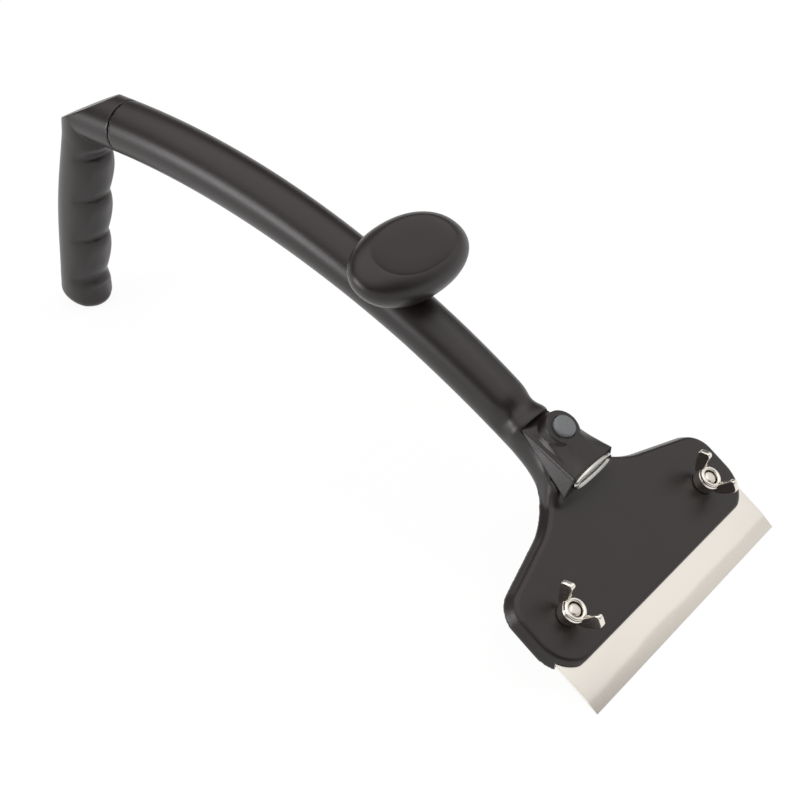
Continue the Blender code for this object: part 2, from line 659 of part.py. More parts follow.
def make_clamp_plate(surface, root):
    top = -HEAD_LIP - 2 * GAP - BLADE_THICKNESS
    bottom = top - CLAMP_THICKNESS
    front = HEAD_FRONT - CLAMP_FRONT_SETBACK
    half = CLAMP_HALF_WIDTH
    corner = CLAMP_CORNER_RADIUS
    outline = arc((front - corner, half - corner), corner, 0, pi / 2, 4)
    outline += arc((-BLADE_TAIL + corner, half - corner), corner, pi / 2, pi, 4)
    plate = finish("clamp_plate", slab(mirrored(outline), bottom, top), surface, root)
    for side in (-1, 1):
        place = (0, side * NUT_OFFSET, 0)
        round_hole(plate, BOLT_DIAMETER, bottom - CUT_OVERRUN, top + CUT_OVERRUN, place, root)
    return bottom


def make_bolt(name, surface, parent, clamp_bottom):
    head_top = clamp_bottom - GAP
    head_bottom = head_top - BOLT_HEAD_HEIGHT
    tip = GAP + NUT_HEIGHT - BOLT_END_SETBACK
    shank = BOLT_DIAMETER / 2
    head = BOLT_HEAD_DIAMETER / 2
    outline = [(0, head_bottom), (head * BOLT_DOME_SHARE, head_bottom), (head, (head_top + head_bottom) / 2),
               (head, head_top), (shank, head_top), (shank, tip - BOLT_POINT)]
    outline += [(shank - BOLT_POINT, tip), (0, tip)]
    finish(name, turned(outline, 20), surface, parent)


def make_wing_nut(name, surface, parent):
    base = NUT_BASE_DIAMETER / 2
    top = NUT_TOP_DIAMETER / 2
    low = GAP
    bore = BOLT_DIAMETER / 2 + HOLE_CLEARANCE
    outline = [(bore, low), (base, low), (base, low + NUT_BASE_FLANGE)]
    outline += [(top + NUT_BASE_STEP, low + 2 * NUT_BASE_FLANGE), (top, low + NUT_HEIGHT)]
    outline.append((bore, low + NUT_HEIGHT))
    nut = finish(name, turned(outline, 24), surface, parent)
    half = NUT_WING_THICKNESS / 2
    for side in (-1, 1):
        reach = side * NUT_WING_SPAN / 2
        points = [(reach * across, low + NUT_WING_TOP * rise) for across, rise in NUT_WING_SHARES]
        wing = loft([[Vector((x, y, z)) for x, z in points] for y in (-half, half)])
        rim = [edge for edge in wing.edges if abs(edge.verts[0].co.y - edge.verts[1].co.y) < MERGE_DISTANCE]
        bmesh.ops.bevel(wing, geom=rim, offset=NUT_WING_ROUND, segments=1, profile=0.5, affect="EDGES")
        join(nut, boolean_tool("wing_form", wing, parent))


# The light's frame: origin at the middle of the housing's front top edge, X forward along its sloping top,
# Z square to that top
def light_slope():
    return atan2(LIGHT_FRONT_TOP - LIGHT_REAR_TOP, LIGHT_REAR_REACH - LIGHT_FRONT_REACH)


def light_length():
    return sqrt((LIGHT_FRONT_TOP - LIGHT_REAR_TOP) ** 2 + (LIGHT_REAR_REACH - LIGHT_FRONT_REACH) ** 2)


def light_depth():
    return (LIGHT_FRONT_TOP - LIGHT_SEAT_HEIGHT - GAP) / cos(light_slope())


def light_floor(along):
    return -light_depth() - along * tan(light_slope())


def light_half_width(along, depth):
    top = LIGHT_FRONT_HALF_WIDTH + (LIGHT_FRONT_HALF_WIDTH - LIGHT_REAR_HALF_WIDTH) * along / light_length()
    return top + LIGHT_SIDE_DRAFT * depth / light_depth()


# One cross-section of the light, square to its top: an inset moves the walls and the roof inwards
def light_section(along, inset, drop):
    low = light_floor(along)
    width = light_half_width(along, 0) - inset
    round_off = min(LIGHT_EDGE_ROUND, -low / 2)
    half = [(light_half_width(along, -low) - inset, low - drop),
            (light_half_width(along, round_off) - inset, -inset - round_off),
            (width - LIGHT_EDGE_ROUND / 2, -inset)]
    for share in LIGHT_CROWN_SHARES:
        half.append((width * share, LIGHT_CROWN * (1 - share ** 2) - inset))
    across = half + [(-y, z) for y, z in reversed(half) if y > 0]
    return [Vector((along, y, z)) for y, z in across]


# Skin the light's sections with flat triangles, since neighbouring sections taper and twist
def light_form(stations, inset, drop):
    bm = loft([light_section(along, inset, drop) for along in stations])
    bmesh.ops.triangulate(bm, faces=[face for face in bm.faces if len(face.verts) == 4])
    return bm


# The crest: level with the head, its sides falling to the light's edges and drawing in under the collar
def crest_form(inset):
    slope = light_slope()
    collar_along = (LIGHT_FRONT_REACH - COLLAR_REACH) * cos(slope)
    rings = []
    for share in CREST_SHARES:
        along = -inset + (collar_along + inset) * share
        edge = light_half_width(along, 0) - CREST_EDGE_INSET
        drawn_in = max(0, (share - CREST_FOOT_START) / (1 - CREST_FOOT_START)) ** CREST_TAPER_POWER
        side = edge + (CREST_HALF_WIDTH - edge) * drawn_in - inset
        flat = CREST_FLAT_HALF_WIDTH - inset / 2
        top = LIGHT_CROWN + (COLLAR_TOP - LIGHT_FRONT_TOP) * share - along * tan(slope) - inset
        low = -LIGHT_WALL - GAP if inset else -LIGHT_WALL / 2
        half = [(side, low), (side, -inset), (flat, top), (flat / 2, top)]
        across = half + [(0, top)] + [(-y, z) for y, z in reversed(half)]
        rings.append([Vector((along, y, z)) for y, z in across])
    bm = loft(rings)
    bmesh.ops.triangulate(bm, faces=[face for face in bm.faces if len(face.verts) == 4])
    return bm


def make_light_housing(surface, frame, seat_frame):
    length = light_length()
    stations = [-length * share for share in LIGHT_STATION_SHARES]
    housing = finish("light_housing", light_form(stations, 0, 0), surface, frame)
    # level crest from the front edge back to the collar
    join(housing, boolean_tool("crest_form", crest_form(0), frame))
    edge = COLLAR_DIAMETER / 2
    low = LIGHT_SEAT_HEIGHT + LIGHT_WALL
    eased = COLLAR_EDGE_ROUND * ROUND_SHARE
    outline = [(0, low), (edge, low), (edge, COLLAR_TOP - COLLAR_EDGE_ROUND)]
    outline += [(edge - eased, COLLAR_TOP - eased), (edge - COLLAR_EDGE_ROUND, COLLAR_TOP), (0, COLLAR_TOP)]
    collar = boolean_tool("collar_form", turned(outline, 28, pi / 28), seat_frame)
    collar.location.x = -COLLAR_REACH
    join(housing, collar)
    # hollow below the roof, with solid corners left round the two screws
    reach = length - LIGHT_CAVITY_REAR
    hollow = boolean_tool("light_hollow", light_form((-reach, -LIGHT_WALL), LIGHT_WALL, CUT_OVERRUN), frame)
    for side in (-1, 1):
        boss_tool = rod(LIGHT_BOSS_DIAMETER / 2, -CUT_OVERRUN, LIGHT_FRONT_TOP, 16, pi / 16)
        boss = boolean_tool("light_boss", boss_tool, seat_frame)
        boss.location = (-LIGHT_SCREW_REACH, side * LIGHT_SCREW_OFFSET, LIGHT_SEAT_HEIGHT)
        cut(hollow, boss)
    cut(housing, hollow)
    cut(housing, boolean_tool("crest_hollow", crest_form(LIGHT_WALL), frame))
    narrow = BUTTON_DIAMETER / 2 + HOLE_CLEARANCE
    wide = BUTTON_FLANGE_DIAMETER / 2 + HOLE_CLEARANCE
    under_lip = COLLAR_TOP - COLLAR_LIP
    over = COLLAR_TOP + CUT_OVERRUN
    well = [(0, 0), (wide, 0), (wide, under_lip), (narrow, under_lip), (narrow, over), (0, over)]
    well_tool = boolean_tool("button_well", turned(well, 28), seat_frame)
    well_tool.location.x = -COLLAR_REACH
    cut(housing, well_tool)
    # two posts under the roof that carry the board
    board_top = LIGHT_SEAT_HEIGHT + BOARD_RAISE + BOARD_THICKNESS
    for side in (-1, 1):
        post_tool = rod(POST_DIAMETER / 2, board_top + GAP, COLLAR_TOP - LIGHT_WALL / 2, 10)
        post = boolean_tool("board_post", post_tool, seat_frame)
        post.location = (-BOARD_REACH - POST_SETBACK, side * POST_OFFSET, 0)
        join(housing, post)
    # oval mouth for the lens and its bezel
    outset = BEZEL_SKIRT + HOLE_CLEARANCE
    mouth = [oval(along, outset, 32) for along in (-BEZEL_SKIRT_DEPTH - GAP, CUT_OVERRUN)]
    cut(housing, boolean_tool("lens_mouth", loft(mouth), frame))
    return housing


# An oval square to the light's top, this far outside the lens's edge
def oval(along, outset, count=28, half_width=LENS_HALF_WIDTH, half_height=LENS_HALF_HEIGHT):
    centre = Vector((along, 0, -light_depth() * LENS_CENTRE_SHARE))
    return bulged_ring(centre, SIDE, Vector((0, 0, 1)), half_width + outset, half_height + outset,
                       LENS_POWER, count)


# Sweep a closed outline of (outset, along) pairs round the oval
def oval_ring(outline, count=28):
    bm = bmesh.new()
    rows = [[bm.verts.new(point) for point in oval(along, outset, count)] for outset, along in outline]
    for near, far in zip(rows, rows[1:] + rows[:1]):
        for k in range(count):
            after = (k + 1) % count
            bm.faces.new((near[k], near[after], far[after], far[k]))
    return bm


def make_lens_set(chrome, clear, glow, frame):
    lip = BEZEL_STAND_OUT
    edge = BEZEL_EDGE_ROUND
    outline = [(GAP, -BEZEL_SKIRT_DEPTH), (BEZEL_SKIRT, -BEZEL_SKIRT_DEPTH), (BEZEL_SKIRT, GAP)]
    outline += [(BEZEL_RIM, GAP), (BEZEL_RIM, lip - edge), (BEZEL_RIM - edge, lip)]
    outline.append((GAP - BEZEL_LEDGE / 2, lip))
    outline += [(-BEZEL_LEDGE, GAP + edge), (-BEZEL_LEDGE, GAP), (GAP, GAP)]
    finish("bezel_ring", oval_ring(outline), chrome, frame)
    inside_ledge = -BEZEL_LEDGE - GAP
    rings = [oval(-LENS_THICKNESS, 0), oval(0, 0), oval(0, inside_ledge)]
    rings.append(oval(LENS_CROWN, inside_ledge - BEZEL_LEDGE))
    finish("lens", loft(rings), clear, frame)
    # reflector: a tapered oval cup with a hole for the lamp
    front = -LENS_THICKNESS - GAP
    back = front - REFLECTOR_DEPTH
    wall = REFLECTOR_WALL
    outer = [oval(front, 0, 24), oval(back, wall, 24, REFLECTOR_BACK_HALF_WIDTH, REFLECTOR_BACK_HALF_HEIGHT)]
    cup = finish("reflector", loft(outer), chrome, frame)
    inner = [oval(front + GAP, GAP / 2 - wall, 24), oval(front, -wall, 24),
             oval(back + wall, 0, 24, REFLECTOR_BACK_HALF_WIDTH, REFLECTOR_BACK_HALF_HEIGHT)]
    cut(cup, boolean_tool("reflector_bowl", loft(inner), frame))
    axis = empty("lamp_frame", frame, (back, 0, -light_depth() * LENS_CENTRE_SHARE), pi / 2)
    round_hole(cup, LAMP_DIAMETER, -CUT_OVERRUN, 2 * wall, (0, 0, 0), axis)
    # lamp: a domed body whose flange stops behind the reflector
    radius = LAMP_DIAMETER / 2
    flange = radius + LAMP_FLANGE
    base = -GAP - LAMP_FLANGE_LENGTH
    tip = base + LAMP_LENGTH
    outline = [(0, base), (flange, base), (flange, -GAP), (radius, -GAP)]
    outline += arc((0, tip - radius), radius, 0, pi / 3, 2) + [(0, tip)]
    lamp = finish("lamp", turned(outline, 16), glow, axis)
    # the legs run back to the board's front edge
    drop = light_depth() * LENS_CENTRE_SHARE
    board_along = (LIGHT_FRONT_REACH - BOARD_REACH - drop * sin(light_slope())) / cos(light_slope())
    low = board_along + 2 * GAP - back
    half = LAMP_LEG / 2
    for side in (-1, 1):
        place = side * LAMP_LEG_SPACING / 2
        leg = box((-half, place - half, low), (half, place + half, base + LAMP_LEG))
        join(lamp, boolean_tool("lamp_leg", leg, axis))


def make_switch_set(board_surface, switch_surface, button_surface, root):
    rear = -BOARD_REACH - BOARD_LENGTH
    half = BOARD_WIDTH / 2
    low = LIGHT_SEAT_HEIGHT + BOARD_RAISE
    top = low + BOARD_THICKNESS
    finish("circuit_board", box((rear, -half, low), (-BOARD_REACH, half, top)), board_surface, root)
    half = SWITCH_SIDE / 2
    low = top + GAP
    high = low + SWITCH_HEIGHT
    body = finish("switch_body", box((-half, -half, low), (half, half, high)), switch_surface, root)
    place = (-COLLAR_REACH, 0, 0)
    body.location = place
    round_hole(body, PLUNGER_DIAMETER, high - PLUNGER_WELL, high + CUT_OVERRUN, place, root, 12)
    # button and plunger share one frame and press straight down
    press = empty("button_frame", root, place)
    foot = high - PLUNGER_WELL + BUTTON_TRAVEL + GAP / 3
    plunger = rod(PLUNGER_DIAMETER / 2, foot, foot + PLUNGER_HEIGHT, 12)
    finish("switch_plunger", plunger, switch_surface, press)
    flange_top = COLLAR_TOP - COLLAR_LIP - GAP
    flange_low = flange_top - BUTTON_FLANGE_THICKNESS
    crown = COLLAR_TOP + BUTTON_STAND_OUT
    side = BUTTON_DIAMETER / 2
    edge = BUTTON_EDGE_ROUND
    stem = BUTTON_STEM_DIAMETER / 2
    stem_low = foot + PLUNGER_HEIGHT + GAP
    outline = [(0, stem_low), (stem, stem_low), (stem, flange_low), (BUTTON_FLANGE_DIAMETER / 2, flange_low),
               (BUTTON_FLANGE_DIAMETER / 2, flange_top), (side, flange_top), (side, crown - edge),
               (side - edge * ROUND_SHARE, crown - edge * ROUND_SHARE), (side - edge, crown), (0, crown)]
    finish("push_button", turned(outline, 24), button_surface, press)


def make_cell_set(surface, steel, contact_surface, root, shaft):
    frame = empty("cell_frame", root, (-CELL_REACH, 0, LIGHT_SEAT_HEIGHT))
    outer = CELL_DIAMETER / 2 + HOLE_CLEARANCE + TRAY_WALL
    stack = 2 * CELL_HEIGHT + 2 * CONTACT_THICKNESS + 4 * GAP
    floor_top = -TRAY_HEADROOM - stack
    low = floor_top - TRAY_FLOOR
    seat_tool = rod(outer + GAP, low - GAP, CUT_OVERRUN, 32, pi / 32)
    pocket = boolean_tool("cell_pocket", seat_tool, frame)
    cut(shaft, pocket)
    inner = outer - TRAY_WALL
    tray = turned([(0, low), (outer, low), (outer, 0), (inner, 0), (inner, floor_top), (0, floor_top)], 32)
    finish("light_tray", tray, surface, frame)
    level = floor_top + GAP
    half = CELL_DIAMETER / 2
    for name in ("contact_lower", "cell_lower", "cell_upper", "contact_upper"):
        if name.startswith("cell"):
            high = level + CELL_HEIGHT
            step = level + CELL_EDGE
            outline = [(0, level), (half - CELL_EDGE, level), (half - CELL_EDGE, step), (half, step),
                       (half, high), (0, high)]
            finish(name, turned(outline, 32), steel, frame)
        else:
            high = level + CONTACT_THICKNESS
            finish(name, rod(CONTACT_DIAMETER / 2, level, high, 20), contact_surface, frame)
        level = high + GAP


def make_light(colours, root, shaft):
    frame = empty("light_frame", root, (-LIGHT_FRONT_REACH, 0, LIGHT_FRONT_TOP), -light_slope())
    # flat seat for the light on top of the neck
    reach = LIGHT_REAR_REACH + GAP
    front = light_depth() * sin(light_slope()) - LIGHT_FRONT_REACH
    rear_half = light_half_width(-light_length(), -light_floor(-light_length())) + GAP
    front_half = LIGHT_FRONT_HALF_WIDTH + LIGHT_SIDE_DRAFT + GAP
    outline = [(-reach, -rear_half), (front, -front_half), (front + CUT_OVERRUN, -front_half),
               (front + CUT_OVERRUN, front_half), (front, front_half), (-reach, rear_half)]
    cut(shaft, boolean_tool("light_seat", slab(outline, LIGHT_SEAT_HEIGHT, LIGHT_FRONT_TOP), root))
    housing = make_light_housing(colours["black"], frame, root)
    make_lens_set(colours["chrome"], colours["clear"], colours["lamp"], frame)
    make_switch_set(colours["board"], colours["switch"], colours["button"], root)
    make_cell_set(colours["black"], colours["steel"], colours["chrome"], root, shaft)
    # two screws from under the neck into the housing's corners
    for side, word in ((-1, "right"), (1, "left")):
        place = (-LIGHT_SCREW_REACH, side * LIGHT_SCREW_OFFSET, 0)
        under_head = -LIGHT_SCREW_SEAT
        face = under_head - LIGHT_SCREW_HEAD_HEIGHT
        tip = LIGHT_SEAT_HEIGHT + GAP + LIGHT_SCREW_BITE
        outside = -SHAFT_REAR_RADIUS - CUT_OVERRUN
        head = LIGHT_SCREW_HEAD
        shank = LIGHT_SCREW_DIAMETER
        screw_hole((shaft, housing), head, shank, outside, under_head, tip, place, root)
        name = "light_screw_" + word
        make_screw(name, colours["steel"], root, head, LIGHT_SCREW_HEAD_HEIGHT, shank, face, tip, place)


# A piece's corners in the head's frame
def corners_of(thing, graph):
    mesh = thing.evaluated_get(graph).to_mesh()
    return [thing.matrix_world @ corner.co for corner in mesh.vertices]


# Tilt the scraper until its blade and the end of its grip touch one level, then set that level at zero
def stand_up(root):
    bpy.context.view_layer.update()
    graph = bpy.context.evaluated_depsgraph_get()
    pieces = [thing for thing in bpy.data.objects if thing.type == "MESH" and not thing.hide_render]
    corners = {thing.name: corners_of(thing, graph) for thing in pieces}

    def lowest(name, tilt):
        return min(corner.z * cos(tilt) - corner.x * sin(tilt) for corner in corners[name])

    low, high = STAND_TILT_RANGE
    for _ in range(40):
        middle = (low + high) / 2
        if lowest("blade", middle) > lowest("rear_grip", middle):
            low = middle
        else:
            high = middle
    turn = Matrix.Rotation(low, 4, "Y")
    stood = [turn @ corner for points in corners.values() for corner in points]
    lows = [min(point[axis] for point in stood) for axis in range(3)]
    highs = [max(point[axis] for point in stood) for axis in range(3)]
    root.rotation_euler = Euler((0, low, 0))
    root.location = (-(lows[0] + highs[0]) / 2, -(lows[1] + highs[1]) / 2, -lows[2])
    bpy.context.view_layer.update()


def build_scraper():
    clear_scene()
    black = material("satin_black_plastic", (0.036, 0.034, 0.033), 0.45, 0.0)
    steel = material("bright_steel", (0.62, 0.60, 0.57), 0.28, 1.0)
    blade_steel = material("ground_blade_steel", (0.66, 0.62, 0.57), 0.34, 1.0)
    chrome = material("chrome", (0.78, 0.78, 0.78), 0.10, 1.0)
    light_colours = {
        "black": black,
        "steel": steel,
        "chrome": chrome,
        "clear": material("clear_plastic", (0.80, 0.84, 0.86), 0.08, 0.0),
        "lamp": material("lamp_epoxy", (0.90, 0.88, 0.70), 0.15, 0.0),
        "board": material("board_green", (0.02, 0.12, 0.05), 0.40, 0.0),
        "switch": material("switch_plastic", (0.05, 0.05, 0.05), 0.40, 0.0),
        "button": material("grey_rubber", (0.20, 0.22, 0.22), 0.55, 0.0),
    }
    root = empty("scraper")
    shaft = make_shaft_body(black, root)
    make_rear_grip(black, steel, root, shaft)
    make_knob(black, steel, root, shaft)
    make_blade(blade_steel, root)
    clamp_bottom = make_clamp_plate(steel, root)
    for side, word in ((-1, "right"), (1, "left")):
        frame = empty("bolt_frame_" + word, root, (0, side * NUT_OFFSET, 0))
        make_bolt("bolt_" + word, steel, frame, clamp_bottom)
        make_wing_nut("wing_nut_" + word, chrome, frame)
    make_light(light_colours, root, shaft)
    stand_up(root)


build_scraper()
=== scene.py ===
import json
from math import asin, atan2, cos, exp, pi, radians, sin, sqrt, tan

import bmesh
import bpy
from mathutils import Matrix, Vector


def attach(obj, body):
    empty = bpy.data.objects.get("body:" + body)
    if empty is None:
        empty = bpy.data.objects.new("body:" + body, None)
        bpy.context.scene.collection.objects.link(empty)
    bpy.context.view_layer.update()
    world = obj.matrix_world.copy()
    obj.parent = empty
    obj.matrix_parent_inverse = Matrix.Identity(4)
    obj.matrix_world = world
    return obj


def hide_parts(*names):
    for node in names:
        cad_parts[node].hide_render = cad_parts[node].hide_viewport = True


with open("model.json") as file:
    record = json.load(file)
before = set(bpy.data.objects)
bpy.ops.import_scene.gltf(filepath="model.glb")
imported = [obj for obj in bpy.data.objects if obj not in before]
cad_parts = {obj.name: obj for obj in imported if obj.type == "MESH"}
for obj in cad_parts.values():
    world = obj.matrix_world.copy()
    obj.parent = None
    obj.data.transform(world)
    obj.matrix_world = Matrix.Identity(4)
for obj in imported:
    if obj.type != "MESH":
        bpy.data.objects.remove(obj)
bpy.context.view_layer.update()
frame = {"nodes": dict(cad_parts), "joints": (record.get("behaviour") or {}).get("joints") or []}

view = bpy.context.scene
sideways = Vector((0, 1, 0))
skyward = Vector((0, 0, 1))
millimetre = 0.001
# Merge distance, the air around a piece and how far a cutter runs on
fit = {"weld": 0.0005, "gap": 0.3, "runOn": 4.0}


def headPlace():
    hinges = [joint for joint in frame["joints"] if joint["name"].endswith("nut_turn")]
    middle = (Vector(hinges[0]["pos_m"]) + Vector(hinges[1]["pos_m"])) / 2
    outward = Vector(hinges[0]["axis"])
    turn = Matrix((sideways.cross(outward), sideways, outward)).transposed().to_4x4()
    return Matrix.Translation(middle) @ turn


headFrame = headPlace()
toWorld = headFrame @ Matrix.Scale(millimetre, 4)


def skinned(rings, endless=False):  # a grid bent onto a row of equal rings, its ends closed or joined
    around, along = len(rings[0]), len(rings) - (0 if endless else 1)
    bm = bmesh.new()
    bmesh.ops.create_grid(bm, x_segments=around, y_segments=along, size=0.5)
    for corner in bm.verts:
        ring = rings[round((corner.co.y + 0.5) * along) % len(rings)]
        corner.co = ring[round((corner.co.x + 0.5) * around) % around]
    bmesh.ops.remove_doubles(bm, verts=bm.verts, dist=fit["weld"])
    return closed(bm)


def closed(bm):  # open edges filled and faces turned outwards
    bmesh.ops.holes_fill(bm, edges=[edge for edge in bm.edges if edge.is_boundary])
    bmesh.ops.recalc_face_normals(bm, faces=bm.faces)
    return bm


def cutOff(bm, place, outward):  # takes away what lies beyond a plane and closes the cut
    bmesh.ops.bisect_plane(bm, geom=bm.verts[:] + bm.edges[:] + bm.faces[:], plane_co=place,
                           plane_no=outward, clear_outer=True)
    return closed(bm)


def turned(outline, steps):  # an outline of (radius, height) spun about Z
    bm = bmesh.new()
    points = [bm.verts.new((radius, 0, height)) for radius, height in outline]
    edges = [bm.edges.new(pair) for pair in zip(points, points[1:] + points[:1])]
    bmesh.ops.spin(bm, geom=points + edges, axis=(0, 0, 1), cent=(0, 0, 0), angle=2 * pi, steps=steps,
                   use_merge=True)
    bmesh.ops.remove_doubles(bm, verts=bm.verts, dist=fit["weld"])
    bmesh.ops.delete(bm, geom=[edge for edge in bm.edges if not edge.link_faces], context="EDGES")
    bmesh.ops.recalc_face_normals(bm, faces=bm.faces)
    return bm


def rod(radius, low, high, steps=40):
    return turned([(0, low), (radius, low), (radius, high), (0, high)], steps)


def pulled(bm, shift):  # pulls the one flat face of a bmesh into a solid
    bm.faces.ensure_lookup_table()
    grown = bmesh.ops.extrude_face_region(bm, geom=bm.faces[:])["geom"]
    ends = [part for part in grown if isinstance(part, bmesh.types.BMVert)]
    bmesh.ops.translate(bm, verts=ends, vec=shift)
    bmesh.ops.recalc_face_normals(bm, faces=bm.faces)
    return bm


def flat(corners):
    bm = bmesh.new()
    bm.faces.new([bm.verts.new(corner) for corner in corners])
    return bm


def block(low, high):
    bm = bmesh.new()
    bmesh.ops.create_cube(bm, size=1)
    low, high = Vector(low), Vector(high)
    bmesh.ops.scale(bm, vec=high - low, verts=bm.verts)
    bmesh.ops.translate(bm, vec=(low + high) / 2, verts=bm.verts)
    return bm


def offset(x, y, z):
    return Matrix.Translation((x, y, z))


def tipped(place, turn):  # a place turned about the sideways axis
    return Matrix.Translation(place) @ Matrix.Rotation(turn, 4, "Y")


def moved(bm, place):
    bmesh.ops.transform(bm, matrix=place, verts=bm.verts)
    return bm


def linked(name, data):
    made = bpy.data.objects.new(name, data)
    view.collection.objects.link(made)
    return made


def linkedMesh(name, bm):
    mesh = bpy.data.meshes.new(name)
    bm.to_mesh(mesh)
    bm.free()
    return linked(name, mesh)


def joined(*parts):  # several shells in one bmesh, still apart
    whole = bmesh.new()
    for part in parts:
        mesh = bpy.data.meshes.new("part")
        part.to_mesh(mesh)
        part.free()
        whole.from_mesh(mesh)
        bpy.data.meshes.remove(mesh)
    return whole


def worked(bm, steps, tools=()):  # runs modifiers over a bmesh and gives back the result
    blank = linkedMesh("blank", bm)
    for kind, settings in steps:
        step = blank.modifiers.new(kind.lower(), kind)
        for name, value in settings.items():
            setattr(step, name, value)
    graph = bpy.context.evaluated_depsgraph_get()
    result = bpy.data.meshes.new_from_object(blank.evaluated_get(graph))
    done = bmesh.new()
    done.from_mesh(result)
    bpy.data.meshes.remove(result)
    for used in (blank, *tools):
        mesh = used.data
        bpy.data.objects.remove(used)
        bpy.data.meshes.remove(mesh)
    return done


def fused(bm, voxel, rounds):  # joins overlapping shells into one skin and eases its corners
    return worked(bm, [("REMESH", {"mode": "VOXEL", "voxel_size": voxel}),
                       ("SMOOTH", {"factor": 0.5, "iterations": rounds})])


def carved(bm, cutters):
    tools, steps = [], []
    for cutter in cutters:
        bmesh.ops.recalc_face_normals(cutter, faces=cutter.faces)
        tools.append(linkedMesh("cutter", cutter))
        steps.append(("BOOLEAN", {"operation": "DIFFERENCE", "solver": "EXACT", "object": tools[-1]}))
    return worked(bm, steps, tools)


def keep(name, bm, slotName, nodes, body="body", crease=32):
    piece = linkedMesh(name, moved(bm, toWorld))
    mesh = piece.data
    mesh.shade_smooth()
    mesh.set_sharp_from_angle(angle=radians(crease))
    mesh.materials.clear()
    mesh.materials.append(surfaces[slotName])
    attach(piece, body)
    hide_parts(*nodes)
    print("made", name, len(mesh.polygons), "faces")


def bulged(centre, side, up, halfWidth, halfHeight, power, count):  # a power of two gives an ellipse
    ring = []
    for k in range(count):
        across, rise = cos(2 * pi * k / count), sin(2 * pi * k / count)
        across = abs(across) ** (2 / power) * (1 if across >= 0 else -1)
        rise = abs(rise) ** (2 / power) * (1 if rise >= 0 else -1)
        ring.append(centre + side * (halfWidth * across) + up * (halfHeight * rise))
    return ring


def between(near, far, steps):  # rings on straight lines from near to far, far itself left out
    return [[a.lerp(b, k / steps) for a, b in zip(near, far)] for k in range(steps)]


def flowing(rows, at):  # a smooth curve through rows whose first value rises
    k = max(i for i in range(len(rows) - 1) if rows[i][0] <= at or i == 0)
    near, far = rows[k], rows[k + 1]
    before, after = rows[max(k - 1, 0)], rows[min(k + 2, len(rows) - 1)]
    span = far[0] - near[0]
    t = (at - near[0]) / span
    found = []
    for b, a, z, e in zip(before[1:], near[1:], far[1:], after[1:]):
        leave = (z - b) / (far[0] - before[0]) * span
        arrive = (e - a) / (after[0] - near[0]) * span
        found.append(a * (2 * t**3 - 3 * t**2 + 1) + leave * (t**3 - 2 * t**2 + t)
                     + z * (3 * t**2 - 2 * t**3) + arrive * (t**3 - t**2))
    return found


def stepUp(low, high, value):  # eases from 0 to 1
    t = min(1, max(0, (value - low) / (high - low)))
    return t * t * (3 - 2 * t)


class Wire:  # one shader value, so that maths on it reads as maths
    def __init__(self, net, socket):
        self.net, self.socket = net, socket

    def maths(self, operation, *values):
        return self.net.add("ShaderNodeMath", {"operation": operation}, dict(enumerate(values)))

    def __add__(self, other): return self.maths("ADD", self, other)
    def __radd__(self, other): return self.maths("ADD", other, self)
    def __sub__(self, other): return self.maths("SUBTRACT", self, other)
    def __rsub__(self, other): return self.maths("SUBTRACT", other, self)
    def __mul__(self, other): return self.maths("MULTIPLY", self, other)
    def __rmul__(self, other): return self.maths("MULTIPLY", other, self)


class Net:  # a material's nodes
    def __init__(self, tree):
        self.tree = tree
        tree.nodes.clear()

    def add(self, kind, settings=None, values=None, output=0):
        node = self.tree.nodes.new(kind)
        for name, value in (settings or {}).items():
            setattr(node, name, value)
        for name, value in (values or {}).items():
            if isinstance(value, Wire):
                self.tree.links.new(value.socket, node.inputs[name])
            else:
                node.inputs[name].default_value = value
        return Wire(self, node.outputs[output]) if len(node.outputs) else node

    def place(self):
        return self.add("ShaderNodeTexCoord", output="Object")

    def noise(self, scale, detail=2, rough=0.5, stretch=None):
        at = self.along(stretch) if stretch else self.place()
        return self.add("ShaderNodeTexNoise", {}, {"Vector": at, "Scale": scale, "Detail": detail,
                                                   "Roughness": rough})

    def along(self, stretch):  # the place in the head's frame, stretched on its axes
        turn = headFrame.to_3x3().inverted().to_euler()
        inHead = self.add("ShaderNodeMapping", {"vector_type": "POINT"},
                          {"Vector": self.place(), "Rotation": turn})
        return self.add("ShaderNodeVectorMath", {"operation": "MULTIPLY"}, {0: inHead, 1: stretch})

    def dot(self, at, axis):
        return self.add("ShaderNodeVectorMath", {"operation": "DOT_PRODUCT"}, {0: at, 1: axis}, "Value")

    def larger(self, near, far):
        return self.add("ShaderNodeMath", {"operation": "MAXIMUM"}, {0: near, 1: far})

    def measure(self, axis, start):  # millimetres along one of the head's axes from a start in metres
        return (self.dot(self.place(), axis) - axis.dot(start)) * 1000

    def ease(self, low, high, value):
        return self.add("ShaderNodeMapRange", {"interpolation_type": "SMOOTHSTEP"},
                        {"Value": value, "From Min": low, "From Max": high})

    def blend(self, share, near, far):
        return self.add("ShaderNodeMix", {"data_type": "RGBA"}, {0: share, 6: near, 7: far}, 2)

    def bump(self, height, distance, strength):
        return self.add("ShaderNodeBump", {},
                        {"Height": height, "Distance": distance, "Strength": strength})


def material(name, shader):
    made = bpy.data.materials.new(name)
    made.use_nodes = True
    net = Net(made.node_tree)
    net.add("ShaderNodeOutputMaterial", {}, {"Surface": shader(net)})
    return made


def surface(name, recipe, **fixed):
    return material(name, lambda net: net.add("ShaderNodeBsdfPrincipled", {}, {**fixed, **recipe(net)}))


def rgb(red, green, blue):
    return (red, green, blue, 1.0)


# Each look: its two colours, its roughness, the scales of its noises and the height of its relief in metres
blackLook = {"body": rgb(0.0150, 0.0100, 0.0094), "worn": rgb(0.0215, 0.0160, 0.0148), "rough": 0.35,
             "grain": 1900, "cloud": 38, "rub": 11, "hair": 420, "relief": 0.000035}


